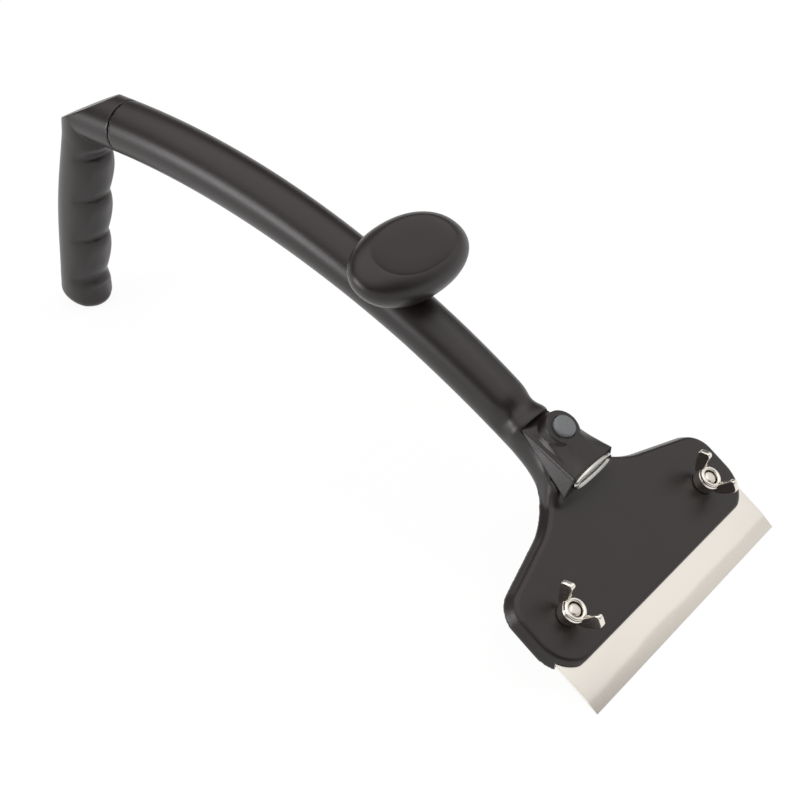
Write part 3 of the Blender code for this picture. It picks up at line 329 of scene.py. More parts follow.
def blackRecipe(net):  # moulded plastic with a fine spark texture, a little handling wear and dust
    grain = net.noise(blackLook["grain"], 3, 0.62)
    cloud = net.noise(blackLook["cloud"], 4, 0.6)
    rub = net.ease(0.56, 0.78, net.noise(blackLook["rub"], 6, 0.7))
    hair = net.ease(0.66, 0.74, net.noise(blackLook["hair"], 2, 0.5, stretch=(0.09, 1.0, 1.0)))
    tone = net.ease(0.35, 0.75, cloud) * 0.45 + rub * 0.35 + hair * 0.2
    return {"Base Color": net.blend(tone, blackLook["body"], blackLook["worn"]),
            "Roughness": (blackLook["rough"] + (cloud - 0.5) * 0.12 + (grain - 0.5) * 0.10 - rub * 0.05
                          + hair * 0.05),
            "Normal": net.bump(grain, blackLook["relief"], 0.55)}


buttonLook = {"body": rgb(0.165, 0.180, 0.184), "worn": rgb(0.205, 0.222, 0.226), "rough": 0.46,
              "grain": 2600, "cloud": 160, "relief": 0.00002}


def buttonRecipe(net):
    grain = net.noise(buttonLook["grain"], 3, 0.6)
    cloud = net.noise(buttonLook["cloud"], 4, 0.6)
    return {"Base Color": net.blend(cloud, buttonLook["body"], buttonLook["worn"]),
            "Roughness": buttonLook["rough"] + (cloud - 0.5) * 0.16,
            "Normal": net.bump(grain, buttonLook["relief"], 0.5)}


chromeLook = {"bright": rgb(0.56, 0.55, 0.52), "dull": rgb(0.46, 0.45, 0.43), "rough": 0.19, "smear": 90,
              "pores": 1500, "relief": 0.000006}


def chromeRecipe(net):
    smear = net.noise(chromeLook["smear"], 5, 0.65)
    pores = net.noise(chromeLook["pores"], 2, 0.5)
    return {"Base Color": net.blend(net.ease(0.4, 0.8, smear), chromeLook["bright"], chromeLook["dull"]),
            "Roughness": chromeLook["rough"] + net.ease(0.45, 0.8, smear) * 0.10,
            "Normal": net.bump(pores, chromeLook["relief"], 0.5)}


castLook = {"bright": rgb(0.84, 0.80, 0.73), "dull": rgb(0.66, 0.62, 0.55), "rough": 0.20, "peel": 620,
            "smear": 120, "relief": 0.00005}


def castRecipe(net):  # plated casting: a soft orange peel and a few dull marks
    peel = net.noise(castLook["peel"], 3, 0.5)
    dull = net.ease(0.55, 0.8, net.noise(castLook["smear"], 5, 0.7))
    return {"Base Color": net.blend(dull, castLook["bright"], castLook["dull"]),
            "Roughness": castLook["rough"] + dull * 0.16,
            "Normal": net.bump(peel, castLook["relief"], 0.45)}


steelLook = {"dull": rgb(0.62, 0.60, 0.55), "bright": rgb(0.84, 0.81, 0.75), "rough": 0.27, "spangle": 700,
             "cloud": 70, "relief": 0.00001}


def steelRecipe(net):  # plated steel with a faint spangle
    spangle = net.noise(steelLook["spangle"], 4, 0.6)
    cloud = net.noise(steelLook["cloud"], 4, 0.6)
    return {"Base Color": net.blend(cloud, steelLook["dull"], steelLook["bright"]),
            "Roughness": steelLook["rough"] + (spangle - 0.5) * 0.18,
            "Normal": net.bump(spangle, steelLook["relief"], 0.4)}


# Near the edge the blade takes darker colours: its ground finish and painted shade of the sloping bevel
bladeLook = {"body": (rgb(0.865, 0.83, 0.762), rgb(0.905, 0.873, 0.812)), "rough": 0.34,
             "groundAndShade": (rgb(0.73, 0.685, 0.62), rgb(0.83, 0.785, 0.72)), "groundAndShadeReach": (28.0, 30.2),
             "wave": 18, "waveReach": 5.0, "lines": 2400, "fine": 5200, "cloud": 30, "relief": 0.000012}


def bladeRecipe(net):  # cross-ground spring steel; past a wavy line near the edge, ground finish with painted bevel shade
    reach = net.measure(headFrame.to_3x3() @ Vector((1, 0, 0)), headFrame.translation)
    wave = (net.noise(bladeLook["wave"], 3, 0.5) - 0.5) * bladeLook["waveReach"]
    groundAndShadeBand = net.ease(*bladeLook["groundAndShadeReach"], reach + wave)
    lines = net.noise(bladeLook["lines"], 2, 0.6, stretch=(0.05, 1.0, 1.0))
    fine = net.noise(bladeLook["fine"], 1, 0.5, stretch=(0.02, 1.0, 1.0))
    cloud = net.noise(bladeLook["cloud"], 4, 0.55)
    body = net.blend(cloud, *bladeLook["body"])
    groundAndShade = net.blend(lines, *bladeLook["groundAndShade"])
    # beyond the wavy line the colour is darker: ground finish and painted shade of the bevel
    return {"Base Color": net.blend(groundAndShadeBand, body, groundAndShade),
            "Roughness": bladeLook["rough"] + (cloud - 0.5) * 0.08 + groundAndShadeBand * 0.06 + (lines - 0.5) * 0.10,
            "Normal": net.bump(lines + fine * 0.5, bladeLook["relief"], 0.5)}


lensLook = {"Base Color": rgb(0.86, 0.86, 0.84), "IOR": 1.49, "Transmission Weight": 0.45}


def lensRecipe(net):
    haze = net.noise(300, 4, 0.6)
    return {"Roughness": 0.16 + haze * 0.10, "Normal": net.bump(haze, 0.00001, 0.3)}


boardLook = {"mask": rgb(0.012, 0.085, 0.035), "tracks": rgb(0.030, 0.150, 0.060), "rough": 0.35,
             "relief": 0.00003}


def boardRecipe(net):
    weave = net.noise(1800, 2, 0.5, stretch=(1.0, 0.2, 1.0))
    tracks = net.ease(0.52, 0.56, net.noise(300, 1, 0.3))
    return {"Base Color": net.blend(tracks, boardLook["mask"], boardLook["tracks"]),
            "Roughness": boardLook["rough"] + weave * 0.15,
            "Normal": net.bump(tracks, boardLook["relief"], 0.6)}


epoxyLook = {"near": rgb(0.78, 0.76, 0.52), "far": rgb(0.90, 0.88, 0.70), "rough": 0.14}
switchLook = {"near": rgb(0.03, 0.03, 0.03), "far": rgb(0.06, 0.06, 0.06), "rough": 0.4}


def plainRecipe(look):
    def recipe(net):
        cloud = net.noise(240, 4, 0.6)
        return {"Base Color": net.blend(cloud, look["near"], look["far"]),
                "Roughness": look["rough"] + (cloud - 0.5) * 0.12,
                "Normal": net.bump(net.noise(2100, 2, 0.5), 0.00001, 0.4)}
    return recipe


surfaces = {
    "satin_black_plastic": surface("satin black plastic", blackRecipe),
    "button_plastic": surface("grey button plastic", buttonRecipe),
    "chrome_trim": surface("bright chrome", chromeRecipe, Metallic=1.0),
    "wing_nut_chrome": surface("plated casting", castRecipe, Metallic=1.0),
    "blade_steel": surface("ground blade steel", bladeRecipe, Metallic=1.0),
    "zinc_steel": surface("zinc plated steel", steelRecipe, Metallic=1.0),
    "clear_lens": surface("clear lens", lensRecipe, **lensLook),
    "lamp_epoxy": surface("lamp epoxy", plainRecipe(epoxyLook)),
    "board_laminate": surface("board laminate", boardRecipe),
    "switch_plastic": surface("switch plastic", plainRecipe(switchLook)),
    "contact_spring_steel": surface("spring steel", steelRecipe, Metallic=1.0),
}
print("surfaces ready:", len(surfaces))

# CAD nodes that stay, by the finish each one takes
keptNodes = {
    "zinc_steel": ["clamp_plate", "cell_lower", "cell_upper"],
    "satin_black_plastic": ["knob_base", "grip_end_plug", "light_tray"],
    "contact_spring_steel": ["contact_lower", "contact_upper"],
    "board_laminate": ["circuit_board"],
    "switch_plastic": ["switch_body", "switch_plunger"],
    "chrome_trim": ["reflector"],
    "lamp_epoxy": ["lamp"],
}
for finishName, names in keptNodes.items():
    for nodeName in names:
        for place in frame["nodes"][nodeName].material_slots:
            place.material = surfaces[finishName]

# The shoulder and the waist are bumps behind the light: how tall, how far behind it, how wide
shaft = {"arcRadius": 454.2, "sweep": radians(31.9), "axisDepth": 2.9, "endReach": 64.9,
         "rearRadius": 13.1, "frontRadius": 10.4, "taper": 2.5, "fullness": 0.4, "fullUntil": radians(8.5),
         "stations": 140, "lightReach": 3.0, "bumps": [(0.9, 0.6, 2.8), (-1.25, 7.2, 4.0)],
         "bumpSide": (-0.45, 0.35), "voxel": 0.68, "easing": 6}
# Along the neck: how far, how much wider, how far the top has dropped and the underside risen, fullness
neck = {"length": 35.9, "halfWidth": 26.0, "dive": 0.6, "stations": 36,
        "lip": 1.5, "lipSpread": 1.7, "lipRise": (0.2, 0.6), "lipFall": (0.9, 0.72),
        "seatHalf": 17.6, "seatSpread": 8.2, "seatAt": 0.85,
        "rows": [(0.0, 0.0, 0.0, 0.0, 2.4), (0.19, 0.03, 0.025, 0.04, 2.5),
                 (0.36, 0.12, 0.07, 0.13, 2.6), (0.53, 0.31, 0.15, 0.26, 2.7),
                 (0.69, 0.59, 0.36, 0.43, 2.8), (0.86, 0.86, 0.73, 0.68, 2.8), (1.0, 1.0, 1.0, 1.0, 2.8)]}
head = {"halfWidth": 73.25, "front": 20.2, "frontCut": 17.6, "thickness": 6.2, "chamfer": 2.9,
        "chamferDrop": 4.8, "chamferEase": 0.8, "lip": 2.9,
        "shoulder": (-24.7, 54.95), "sweep": radians(16.8), "frontCorner": 18.4, "rearCorner": 13.2,
        "root": 24.2, "hollow": 40.0, "hollowEnd": radians(53), "overlap": 3.0, "roundSteps": 14,
        "recessRear": -13.55, "recessFront": 24.0, "recessLow": -12.0, "recessHalf": 70.2,
        "nutOffset": 51.95, "boltHole": 3.3, "holeLow": -8.0}
shaftCentre = Vector((-shaft["endReach"], 0, -shaft["axisDepth"] - shaft["arcRadius"]))


def onShaft(turn):  # the place on the shaft's axis, its forward way and its upward way
    up = Vector((-sin(turn), 0, cos(turn)))
    return shaftCentre + up * shaft["arcRadius"], Vector((cos(turn), 0, sin(turn))), up


def shaftRadius(turn):
    grown = 1 - (1 - turn / shaft["sweep"]) ** shaft["taper"]
    return shaft["frontRadius"] + (shaft["rearRadius"] - shaft["frontRadius"]) * grown


def shouldered(ring, place, behind):  # raises or sinks the ring's upper side by the bumps behind the light
    swell = sum(tall * exp(-((behind - at) / wide) ** 2) for tall, at, wide in shaft["bumps"])
    if abs(swell) < 0.01:
        return ring
    grown = []
    for point in ring:
        out = point - place
        out.x = 0
        grown.append(point + out.normalized() * swell * stepUp(*shaft["bumpSide"], out.z / out.length))
    return grown


def shaftRings(count=96):
    rings = []
    for k in range(shaft["stations"] + 1):
        turn = shaft["sweep"] * (1 - k / shaft["stations"])
        place, _, up = onShaft(turn)
        radius = shaftRadius(turn)
        fullness = 2 + shaft["fullness"] * max(0, 1 - turn / shaft["fullUntil"])
        ring = bulged(place, sideways, up, radius, radius, fullness, count)
        rings.append(shouldered(ring, place, turn * shaft["arcRadius"] - shaft["lightReach"]))
    top = shaft["frontRadius"] - shaft["axisDepth"]
    bottom = -shaft["frontRadius"] - shaft["axisDepth"]
    for k in range(1, neck["stations"] + 1):
        along = k / neck["stations"]
        wider, dropped, risen, fullness = flowing(neck["rows"], along)
        high = top + (-neck["dive"] - top) * dropped
        low = bottom + (neck["dive"] - head["thickness"] - bottom) * risen
        width = shaft["frontRadius"] + (neck["halfWidth"] - shaft["frontRadius"]) * wider
        place = Vector((-shaft["endReach"] + neck["length"] * along, 0, (high + low) / 2))
        ring = bulged(place, sideways, skyward, width, (high - low) / 2, fullness, count)
        # a low lip on both sides of the light
        lip = neck["lip"] * stepUp(*neck["lipRise"], along) * stepUp(*neck["lipFall"], along)
        besideLight = neck["seatHalf"] + neck["seatSpread"] * (along - neck["seatAt"])
        for point in ring:
            if point.z > place.z:
                point.z += lip * exp(-((abs(point.y) - besideLight) / neck["lipSpread"]) ** 2)
        rings.append(shouldered(ring, place, -shaft["lightReach"] - neck["length"] * along))
    return rings


def eased(bm, edges, width, segments):  # bevels edges and gives back the new faces
    return bmesh.ops.bevel(bm, geom=edges, offset=width, segments=segments, profile=0.5, affect="EDGES",
                           material=-1)["faces"]


def headPlate():
    half, sweep = head["halfWidth"], head["sweep"]
    shoulderX, shoulderY = head["shoulder"]
    rootY = head["root"]
    rootX = shoulderX - (shoulderY - rootY) * tan(sweep)
    hollow = head["hollow"] * tan((head["hollowEnd"] - sweep) / 2)
    inward = hollow + head["overlap"]  # how far the plate runs on into the neck
    corners = [(head["front"], half, head["frontCorner"]),
               (shoulderX + (half - shoulderY) * tan(sweep), half,
                head["rearCorner"] * tan((pi / 2 - sweep) / 2)),
               (rootX, rootY, hollow),
               (rootX - inward * sin(head["hollowEnd"]), rootY - inward * cos(head["hollowEnd"]), 0)]
    corners += [(x, -y, cutBack) for x, y, cutBack in reversed(corners)]
    bm = flat([(x, y, -head["thickness"]) for x, y, _ in corners])
    for point, (_, _, cutBack) in zip(bm.verts[:], corners):
        if cutBack:
            bmesh.ops.bevel(bm, geom=[point], offset=cutBack, offset_type="OFFSET", profile=0.5,
                            segments=head["roundSteps"], affect="VERTICES", material=-1)
    pulled(bm, (0, 0, head["thickness"]))
    rim = [edge for edge in bm.edges if all(abs(corner.co.z) < 0.001 for corner in edge.verts)]
    sloped = eased(bm, rim, head["chamfer"], 1)
    for corner in {corner for face in sloped for corner in face.verts if corner.co.z < -0.1}:
        corner.co.z = -head["chamferDrop"]  # steeper than the bevel's 45 degrees
    level = {edge for face in sloped for edge in face.edges
             if abs(edge.verts[0].co.z - edge.verts[1].co.z) < 0.01}
    eased(bm, list(level), head["chamferEase"], 4)
    return cutOff(bm, (head["frontCut"], 0, 0), (1, 0, 0))


def boltHoles(high):
    return [moved(rod(head["boltHole"], head["holeLow"], high), offset(0, side * head["nutOffset"], 0))
            for side in (-1, 1)]


# Sizes of each screw: head width and height, shank, how deep its head is sunk, how far it bites beyond the
# plate that it holds, and how far out of its head's face the hole for it starts
screws = {"knob": {"wide": 8.4, "tall": 1.6, "shank": 4.6, "sunk": 0.7, "bite": 9.0, "access": 5.0},
          "grip": {"wide": 6.4, "tall": 1.6, "shank": 3.6, "sunk": 0.6, "bite": 7.0, "access": 5.0},
          "light": {"wide": 4.2, "tall": 1.6, "shank": 2.2, "face": -4.6, "tip": 6.9, "access": 12.4},
          "dome": [(0.55, 0.02), (0.82, 0.14), (0.95, 0.36), (1.0, 0.7)], "armShare": 0.58,
          "slotShare": 0.14, "slotDepth": 0.55, "gripBehind": 12.0, "lightReach": -40.8, "lightSide": 12.0}


def screwCutter(size, face, tip):
    wide, narrow = size["wide"] / 2 + fit["gap"], size["shank"] / 2 + fit["gap"]
    outside, under = face - size["access"], face + size["tall"] + fit["gap"]
    return turned([(0, outside), (wide, outside), (wide, under), (narrow, under),
                   (narrow, tip + fit["gap"]), (0, tip + fit["gap"])], 40)


def crossScrew(name, node, size, span, place):  # pan head with a cross recess, seen from below
    face, tip = span
    wide, tall, shank = size["wide"] / 2, size["tall"], size["shank"] / 2
    outline = [(0, face)] + [(wide * share, face + drop) for share, drop in screws["dome"]]
    outline += [(wide, face + tall), (shank, face + tall), (shank, tip - shank), (shank / 2, tip), (0, tip)]
    arm, slim = wide * screws["armShare"], wide * screws["slotShare"]
    low, high = face - 1, face + tall * screws["slotDepth"]
    slots = [block((-x, -y, low), (x, y, high)) for x, y in ((arm, slim), (slim, arm))]
    keep(name, moved(carved(turned(outline, 40), slots), place), "zinc_steel", [node])


# The dish's rows are a share of the rim and a drop: a rounded lip, a short step and a shallow bare bowl
knob = {"reach": 148.2, "length": 64.5, "width": 39.2, "height": 18.7, "lift": 2.4, "belt": 0.58,
        "rim": 0.71, "flat": 0.65, "upperTurn": radians(62), "lowerTurn": radians(70), "fullness": 2.15,
        "wall": 3.3, "plate": 3.2, "upperSteps": 24, "lowerSteps": 22,
        "dish": [(0.985, 0.015), (0.965, 0.06), (0.945, 0.13), (0.92, 0.20), (0.87, 0.29), (0.80, 0.38),
                 (0.70, 0.46), (0.56, 0.53), (0.38, 0.58), (0.18, 0.6)]}
knobTurn = asin((knob["reach"] - shaft["endReach"]) / shaft["arcRadius"])
knobAxis = tipped(onShaft(knobTurn)[0], -knobTurn)
knobLift = shaftRadius(knobTurn) + knob["lift"]
gripScrewTurn = shaft["sweep"] - screws["gripBehind"] / shaft["arcRadius"]
gripScrewPlace = tipped(onShaft(gripScrewTurn)[0], -gripScrewTurn)
lightScrews = [offset(screws["lightReach"], side * screws["lightSide"], 0) for side in (-1, 1)]
lightScrewSpan = screws["light"]["face"], screws["light"]["tip"]


def knobScrewSpan():  # the heights of its head's face and of its tip, from the shaft's axis
    face = screws["knob"]["sunk"] - shaftRadius(knobTurn)
    return face, knobLift + knob["plate"] + fit["gap"] + screws["knob"]["bite"]


def gripScrewSpan():
    face = screws["grip"]["sunk"] - shaftRadius(gripScrewTurn)
    return face, face + screws["grip"]["tall"] + screws["grip"]["bite"]


# The pocket and the posts are (radius, low, high)
light = {"front": -37.9, "rear": -67.6, "frontTop": 14.3, "rearTop": 4.7, "frontHalf": 14.1,
         "rearHalf": 9.0, "seat": 3.4, "draft": 2.8, "wall": 1.5, "crown": 0.6,
         "edge": 2.2, "edgeTurns": (0, 22, 45, 67), "crestInset": 0.6, "crestFlat": 4.2, "crestSag": 0.35,
         "crestBulge": 0.25, "collarReach": -56.8, "collarTop": 14.6, "collar": 8.4, "collarFoot": 1.5,
         "collarLip": 1.5, "collarEase": (0.8, 0.24), "well": 6.35, "wellMouth": 5.5, "wellTop": 19.0,
         "pocket": (11.6, -12.6, 4.0), "pocketReach": -48.8, "post": (2.4, -5, 16), "hollowRear": 4.6,
         "rearSteps": 16, "frontSteps": 26, "voxel": 0.3, "easing": 5,
         "topShares": (0.97, 0.94, 0.9, 0.85, 0.79, 0.72, 0.64, 0.56, 0.48, 0.4, 0.32, 0.24, 0.16, 0.08,
                       0.0)}
slope = atan2(light["frontTop"] - light["rearTop"], light["front"] - light["rear"])
lightLength = sqrt((light["frontTop"] - light["rearTop"]) ** 2 + (light["front"] - light["rear"]) ** 2)
lightDepth = (light["frontTop"] - light["seat"] - fit["gap"]) / cos(slope)
lightPlace = tipped((light["front"], 0, light["frontTop"]), -slope)
wellPlace = offset(light["collarReach"], 0, 0)
collarAlong = (light["collarReach"] - light["front"]) * cos(slope)


def lightHalf(along, depth):
    top = light["frontHalf"] + (light["frontHalf"] - light["rearHalf"]) * along / lightLength
    return top + light["draft"] * depth / lightDepth


def seatCutter():
    rearHalf = lightHalf(-lightLength, lightDepth - lightLength * tan(slope)) + fit["gap"]
    frontHalf = light["frontHalf"] + light["draft"] + fit["gap"]
    rear, front = light["rear"] - fit["gap"], lightDepth * sin(slope) + light["front"]
    ahead = front + fit["runOn"]
    corners = [(rear, -rearHalf), (front, -frontHalf), (ahead, -frontHalf), (ahead, frontHalf),
               (front, frontHalf), (rear, rearHalf)]
    base = flat([(x, y, light["seat"]) for x, y in corners])
    return pulled(base, (0, 0, light["frontTop"] - light["seat"]))


def makeShaft():
    skin = fused(joined(skinned(shaftRings()), headPlate()), shaft["voxel"], shaft["easing"])
    cutters = [seatCutter(),
               moved(rod(*light["pocket"], 64), offset(light["pocketReach"], 0, light["seat"])),
               block((head["recessRear"], -head["recessHalf"], head["recessLow"]),
                     (head["recessFront"], head["recessHalf"], -head["lip"]))]
    cutters += boltHoles(5)
    cutters.append(moved(screwCutter(screws["knob"], *knobScrewSpan()), knobAxis))
    cutters.append(moved(screwCutter(screws["grip"], *gripScrewSpan()), gripScrewPlace))
    cutters += [moved(screwCutter(screws["light"], *lightScrewSpan), place) for place in lightScrews]
    keep("shaftBody", carved(skin, cutters), "satin_black_plastic", ["shaft_body"])


makeShaft()
crossScrew("knobScrew", "knob_screw", screws["knob"], knobScrewSpan(), knobAxis)
crossScrew("gripScrew", "grip_screw", screws["grip"], gripScrewSpan(), gripScrewPlace)
for place, word in zip(lightScrews, ("right", "left")):
    crossScrew("lightScrew" + word.title(), "light_screw_" + word, screws["light"], lightScrewSpan, place)

# The elbow takes the shaft's end over a mitre; the plug's rim and bore are (radius, depth)
grip = {"elbowLength": 29.4, "elbowAngle": radians(103.5), "cutAngle": radians(27.5), "cutHeight": 1.8,
        "length": 118.1, "frontDepth": 14.7, "backDepth": 11.8, "halfWidth": 12.4, "pitch": 26.0,
        "first": 20.0, "notches": 4, "notchDepth": 3.0, "notchSide": (0.0, 0.72), "endRound": 4.5,
        "swell": 3.4, "swellStart": 8.0, "swellEnd": 6.0, "swellLean": 0.68, "swellPower": 0.8,
        "flare": 3.4, "flareStart": 6.5, "fullness": 2.15, "dish": 1.2, "dishSide": (0.72, 0.98),
        "dishLean": 0.9, "lean": 5.0, "seam": 0.3, "elbowSteps": (30, 14), "steps": 130, "endSteps": 8,
        "plugRim": (7.8, 2.1), "plugBore": (6.8, 12.0), "voxel": 0.5, "easing": 3}
gripTurn = shaft["sweep"] - grip["elbowAngle"]
gripDown = Vector((cos(gripTurn), 0, sin(gripTurn)))
gripFront = Vector((-gripDown.z, 0, gripDown.x))
elbow = onShaft(shaft["sweep"])[0] - onShaft(shaft["sweep"])[1] * grip["elbowLength"]
lastNotch = grip["first"] + grip["pitch"] * (grip["notches"] - 1)


def fingerSwell(along):  # swells quickly below each notch, then sinks slowly to the next
    if along < grip["first"]:
        return stepUp(grip["first"], grip["first"] - grip["swellStart"], along)
    if along > lastNotch:
        return stepUp(lastNotch, lastNotch + grip["swellEnd"], along)
    phase = ((along - grip["first"]) / grip["pitch"]) % 1.0
    return sin(pi * phase ** grip["swellLean"]) ** grip["swellPower"]


def fingerDish(along):
    phase = (along - grip["first"]) / grip["pitch"]
    if phase < -1 or phase > grip["notches"]:
        return 0
    return sin(pi * (phase % 1.0) ** grip["dishLean"]) ** 2


def gripDepths(along):
    flareFrom = lastNotch + grip["flareStart"]
    flare = grip["flare"] * min(1, max(0, (along - flareFrom) / (grip["length"] - flareFrom)))
    back = grip["backDepth"] + grip["swell"] * sin(pi * min(1, along / grip["length"])) ** 2
    return grip["frontDepth"] + flare, back


def gripStations():  # how far down the grip, and how far the rounded end draws in
    straight, rounding, steps = grip["length"] - grip["endRound"], grip["endRound"], grip["steps"]
    start = grip["first"] - grip["pitch"] / 4
    turns = [pi / 2 * k / grip["endSteps"] for k in range(1, grip["endSteps"] + 1)]
    return ([(start + (straight - start) * k / steps, 0) for k in range(steps + 1)]
            + [(straight + rounding * sin(turn), rounding * (1 - cos(turn))) for turn in turns])


def gripRings(count=88):
    end, forward, up = onShaft(shaft["sweep"])
    radius = shaftRadius(shaft["sweep"])
    inwardTurn = shaft["sweep"] - grip["elbowAngle"] / 2
    inward = Vector((cos(inwardTurn), 0, sin(inwardTurn)))
    seam = bulged(end - forward * grip["seam"], sideways, up, radius, radius, 2, count)
    mitre = bulged(elbow, sideways, -inward, radius, radius / sin(grip["elbowAngle"] / 2), 2, count)
    rings = []
    for along, inset in gripStations():
        front, back = gripDepths(min(along, grip["length"] - grip["endRound"]))
        middle = elbow + gripDown * along + gripFront * ((front - back) / 2)
        ring = bulged(middle, sideways, -gripFront, grip["halfWidth"] - inset, (front + back) / 2 - inset,
                      grip["fullness"], count)
        for point in ring:  # notches cut in from the front, with a shallow dish in front between them
            ahead = (point - elbow).dot(gripFront) / grip["frontDepth"]
            lagged = along - grip["lean"] * max(0, 1 - ahead)
            notch = grip["notchDepth"] * (1 - fingerSwell(lagged)) * stepUp(*grip["notchSide"], ahead)
            dish = grip["dish"] * fingerDish(lagged) * stepUp(*grip["dishSide"], ahead)
            point -= gripFront * (notch + dish)
        rings.append(ring)
    toMitre, fromMitre = grip["elbowSteps"]
    return between(seam, mitre, toMitre) + between(mitre, rings[0], fromMitre) + rings


def makeGrip():
    topTurn = shaft["sweep"] + grip["cutAngle"] + pi / 2
    top = Vector((cos(topTurn), 0, sin(topTurn)))
    bm = cutOff(skinned(gripRings()), elbow + top * grip["cutHeight"], top)
    gripPlace = tipped(elbow, -gripTurn - pi / 2)
    bottom = -grip["length"]
    below = bottom - fit["runOn"]
    rim, rimDepth = grip["plugRim"]
    bore, boreDepth = grip["plugBore"]
    plugHole = turned([(0, below), (rim, below), (rim, bottom + rimDepth), (bore, bottom + rimDepth),
                       (bore, bottom + boreDepth), (0, bottom + boreDepth)], 64)
    skin = fused(bm, grip["voxel"], grip["easing"])
    keep("rearGrip", carved(skin, [moved(plugHole, gripPlace)]), "satin_black_plastic", ["rear_grip"])


makeGrip()


def knobRing(share, height, inset=0, count=128):
    return bulged(skyward * height, sideways, Vector((1, 0, 0)), knob["length"] / 2 * share - inset,
                  knob["width"] / 2 * share - inset, knob["fullness"], count)


def knobSide(turn, last, edge, belt, rise):  # one ring above or below the belt
    share = 1 - (1 - edge) * (1 - cos(turn)) / (1 - cos(last))
    return knobRing(share, belt + rise * sin(turn) / sin(last))


def makeKnob():
    belt, lower, upper = knob["height"] * knob["belt"], knob["lowerSteps"], knob["upperSteps"]
    rings = [knobSide(knob["lowerTurn"] * k / lower, knob["lowerTurn"], knob["flat"], belt, -belt)
             for k in range(lower, 0, -1)]
    rings += [knobSide(knob["upperTurn"] * k / upper, knob["upperTurn"], knob["rim"], belt,
                       knob["height"] - belt) for k in range(upper + 1)]
    rings += [knobRing(knob["rim"] * share, knob["height"] - drop) for share, drop in knob["dish"]]
    # the mouth below, which takes the base plate
    mouth = [knobRing(knob["flat"], height, knob["wall"] - fit["gap"], 96)
             for height in (-1, knob["plate"] + fit["gap"])]
    hole = screwCutter(screws["knob"], *knobScrewSpan())
    cap = carved(skinned(rings), [skinned(mouth), moved(hole, offset(0, 0, -knobLift))])
    keep("palmKnob", moved(cap, knobAxis @ offset(0, 0, knobLift)), "satin_black_plastic", ["knob_cap"],
         crease=40)


makeKnob()


def crestRise(along, across):  # the crest over the wedge: level with the head, falling away to both sides
    foot = lightHalf(along, 0) - light["crestInset"]
    tall = ((light["collarTop"] - light["frontTop"]) * min(along / collarAlong, 1)
            - max(along, collarAlong) * tan(slope))
    if along < collarAlong:
        behind = (along - collarAlong) / (-lightLength - collarAlong)
        tall *= max(0, 1 - behind) * (1 - light["crestSag"] * behind)
    fall = min(1, max(0, (foot - abs(across)) / (foot - light["crestFlat"])))
    return tall * fall * (1 + light["crestBulge"] * (1 - fall))


def lightSection(along, inset, drop, crested):
    low = -lightDepth - along * tan(slope)
    edge = light["edge"]
    width = lightHalf(along, 0) - inset
    lowered = min(edge, -low / 2)
    half = [(lightHalf(along, -low) - inset, low - drop)]
    for turn in light["edgeTurns"]:
        half.append((width - edge * (1 - cos(radians(turn))), -inset - lowered * (1 - sin(radians(turn)))))
    for share in light["topShares"]:
        across = (width - edge) * share / light["topShares"][0]
        half.append((across, light["crown"] * (1 - share**2) + crestRise(along, across) * crested - inset))
    return [Vector((along, y, z)) for y, z in half + [(-y, z) for y, z in reversed(half[:-1])]]


def wedge(stations, inset, drop, crested=1):
    bm = skinned([lightSection(along, inset, drop, crested) for along in stations])
    bmesh.ops.triangulate(bm, faces=bm.faces)
    return bm


# The bezel's roll is in from the rim and down from its front; the lens has a plain border, then ripples
lens = {"half": 11.6, "rise": 3.6, "fullness": 2.3, "share": 0.47, "thick": 0.9, "crown": 0.5,
        "border": (1.1, 1.35), "step": 0.18, "core": 0.1, "ripple": 0.05, "ripples": 4, "steps": 24,
        "rim": 1.4, "proud": 1.7, "ledge": 0.8, "ledgeTop": 0.8, "skirt": 0.8, "skirtDepth": 2.4,
        "roll": [(0.0, 0.7), (0.1, 0.33), (0.32, 0.1), (0.65, 0.0), (0.95, 0.1), (1.15, 0.34), (1.3, 0.36),
                 (1.5, 0.5)],
        "inner": [(0.35, 0.85), (0.05, 1.0)]}


def oval(along, outset, count=96):
    return bulged(Vector((along, 0, -lightDepth * lens["share"])), sideways, skyward, lens["half"] + outset,
                  lens["rise"] + outset, lens["fullness"], count)


def lightSkin():
    rear, front, collar, top = light["rearSteps"], light["frontSteps"], light["collar"], light["collarTop"]
    stations = [-lightLength + (lightLength + collarAlong) * k / rear for k in range(rear)]
    stations += [collarAlong * (1 - k / front) for k in range(front + 1)]
    foot = light["seat"] + light["collarFoot"]
    ease, near = light["collarEase"]
    ring = turned([(0, foot), (collar, foot), (collar, top - ease), (collar - near, top - near),
                   (collar - ease, top), (0, top)], 96)
    skin = joined(moved(wedge(stations, 0, 0), lightPlace), moved(ring, wellPlace))
    return fused(skin, light["voxel"], light["easing"])


def makeLight():
    skin = lightSkin()
    inside = wedge((-lightLength + light["hollowRear"], -light["wall"]), light["wall"],
                   fit["runOn"], 0)
    posts = [moved(rod(*light["post"], 32), place) for place in lightScrews]
    hollow = carved(moved(inside, lightPlace), posts)
    lip, well, mouth = light["collarTop"] - light["collarLip"], light["well"], light["wellMouth"]
    buttonWell = turned([(0, 0), (well, 0), (well, lip), (mouth, lip), (mouth, light["wellTop"]),
                         (0, light["wellTop"])], 72)
    opening = [oval(along, lens["skirt"] + fit["gap"])
               for along in (-lens["skirtDepth"] - fit["gap"], fit["runOn"])]
    cutters = [hollow, moved(buttonWell, wellPlace), moved(skinned(opening), lightPlace)]
    cutters += [moved(screwCutter(screws["light"], *lightScrewSpan), place) for place in lightScrews]
    keep("lightHousing", carved(skin, cutters), "satin_black_plastic", ["light_housing"])


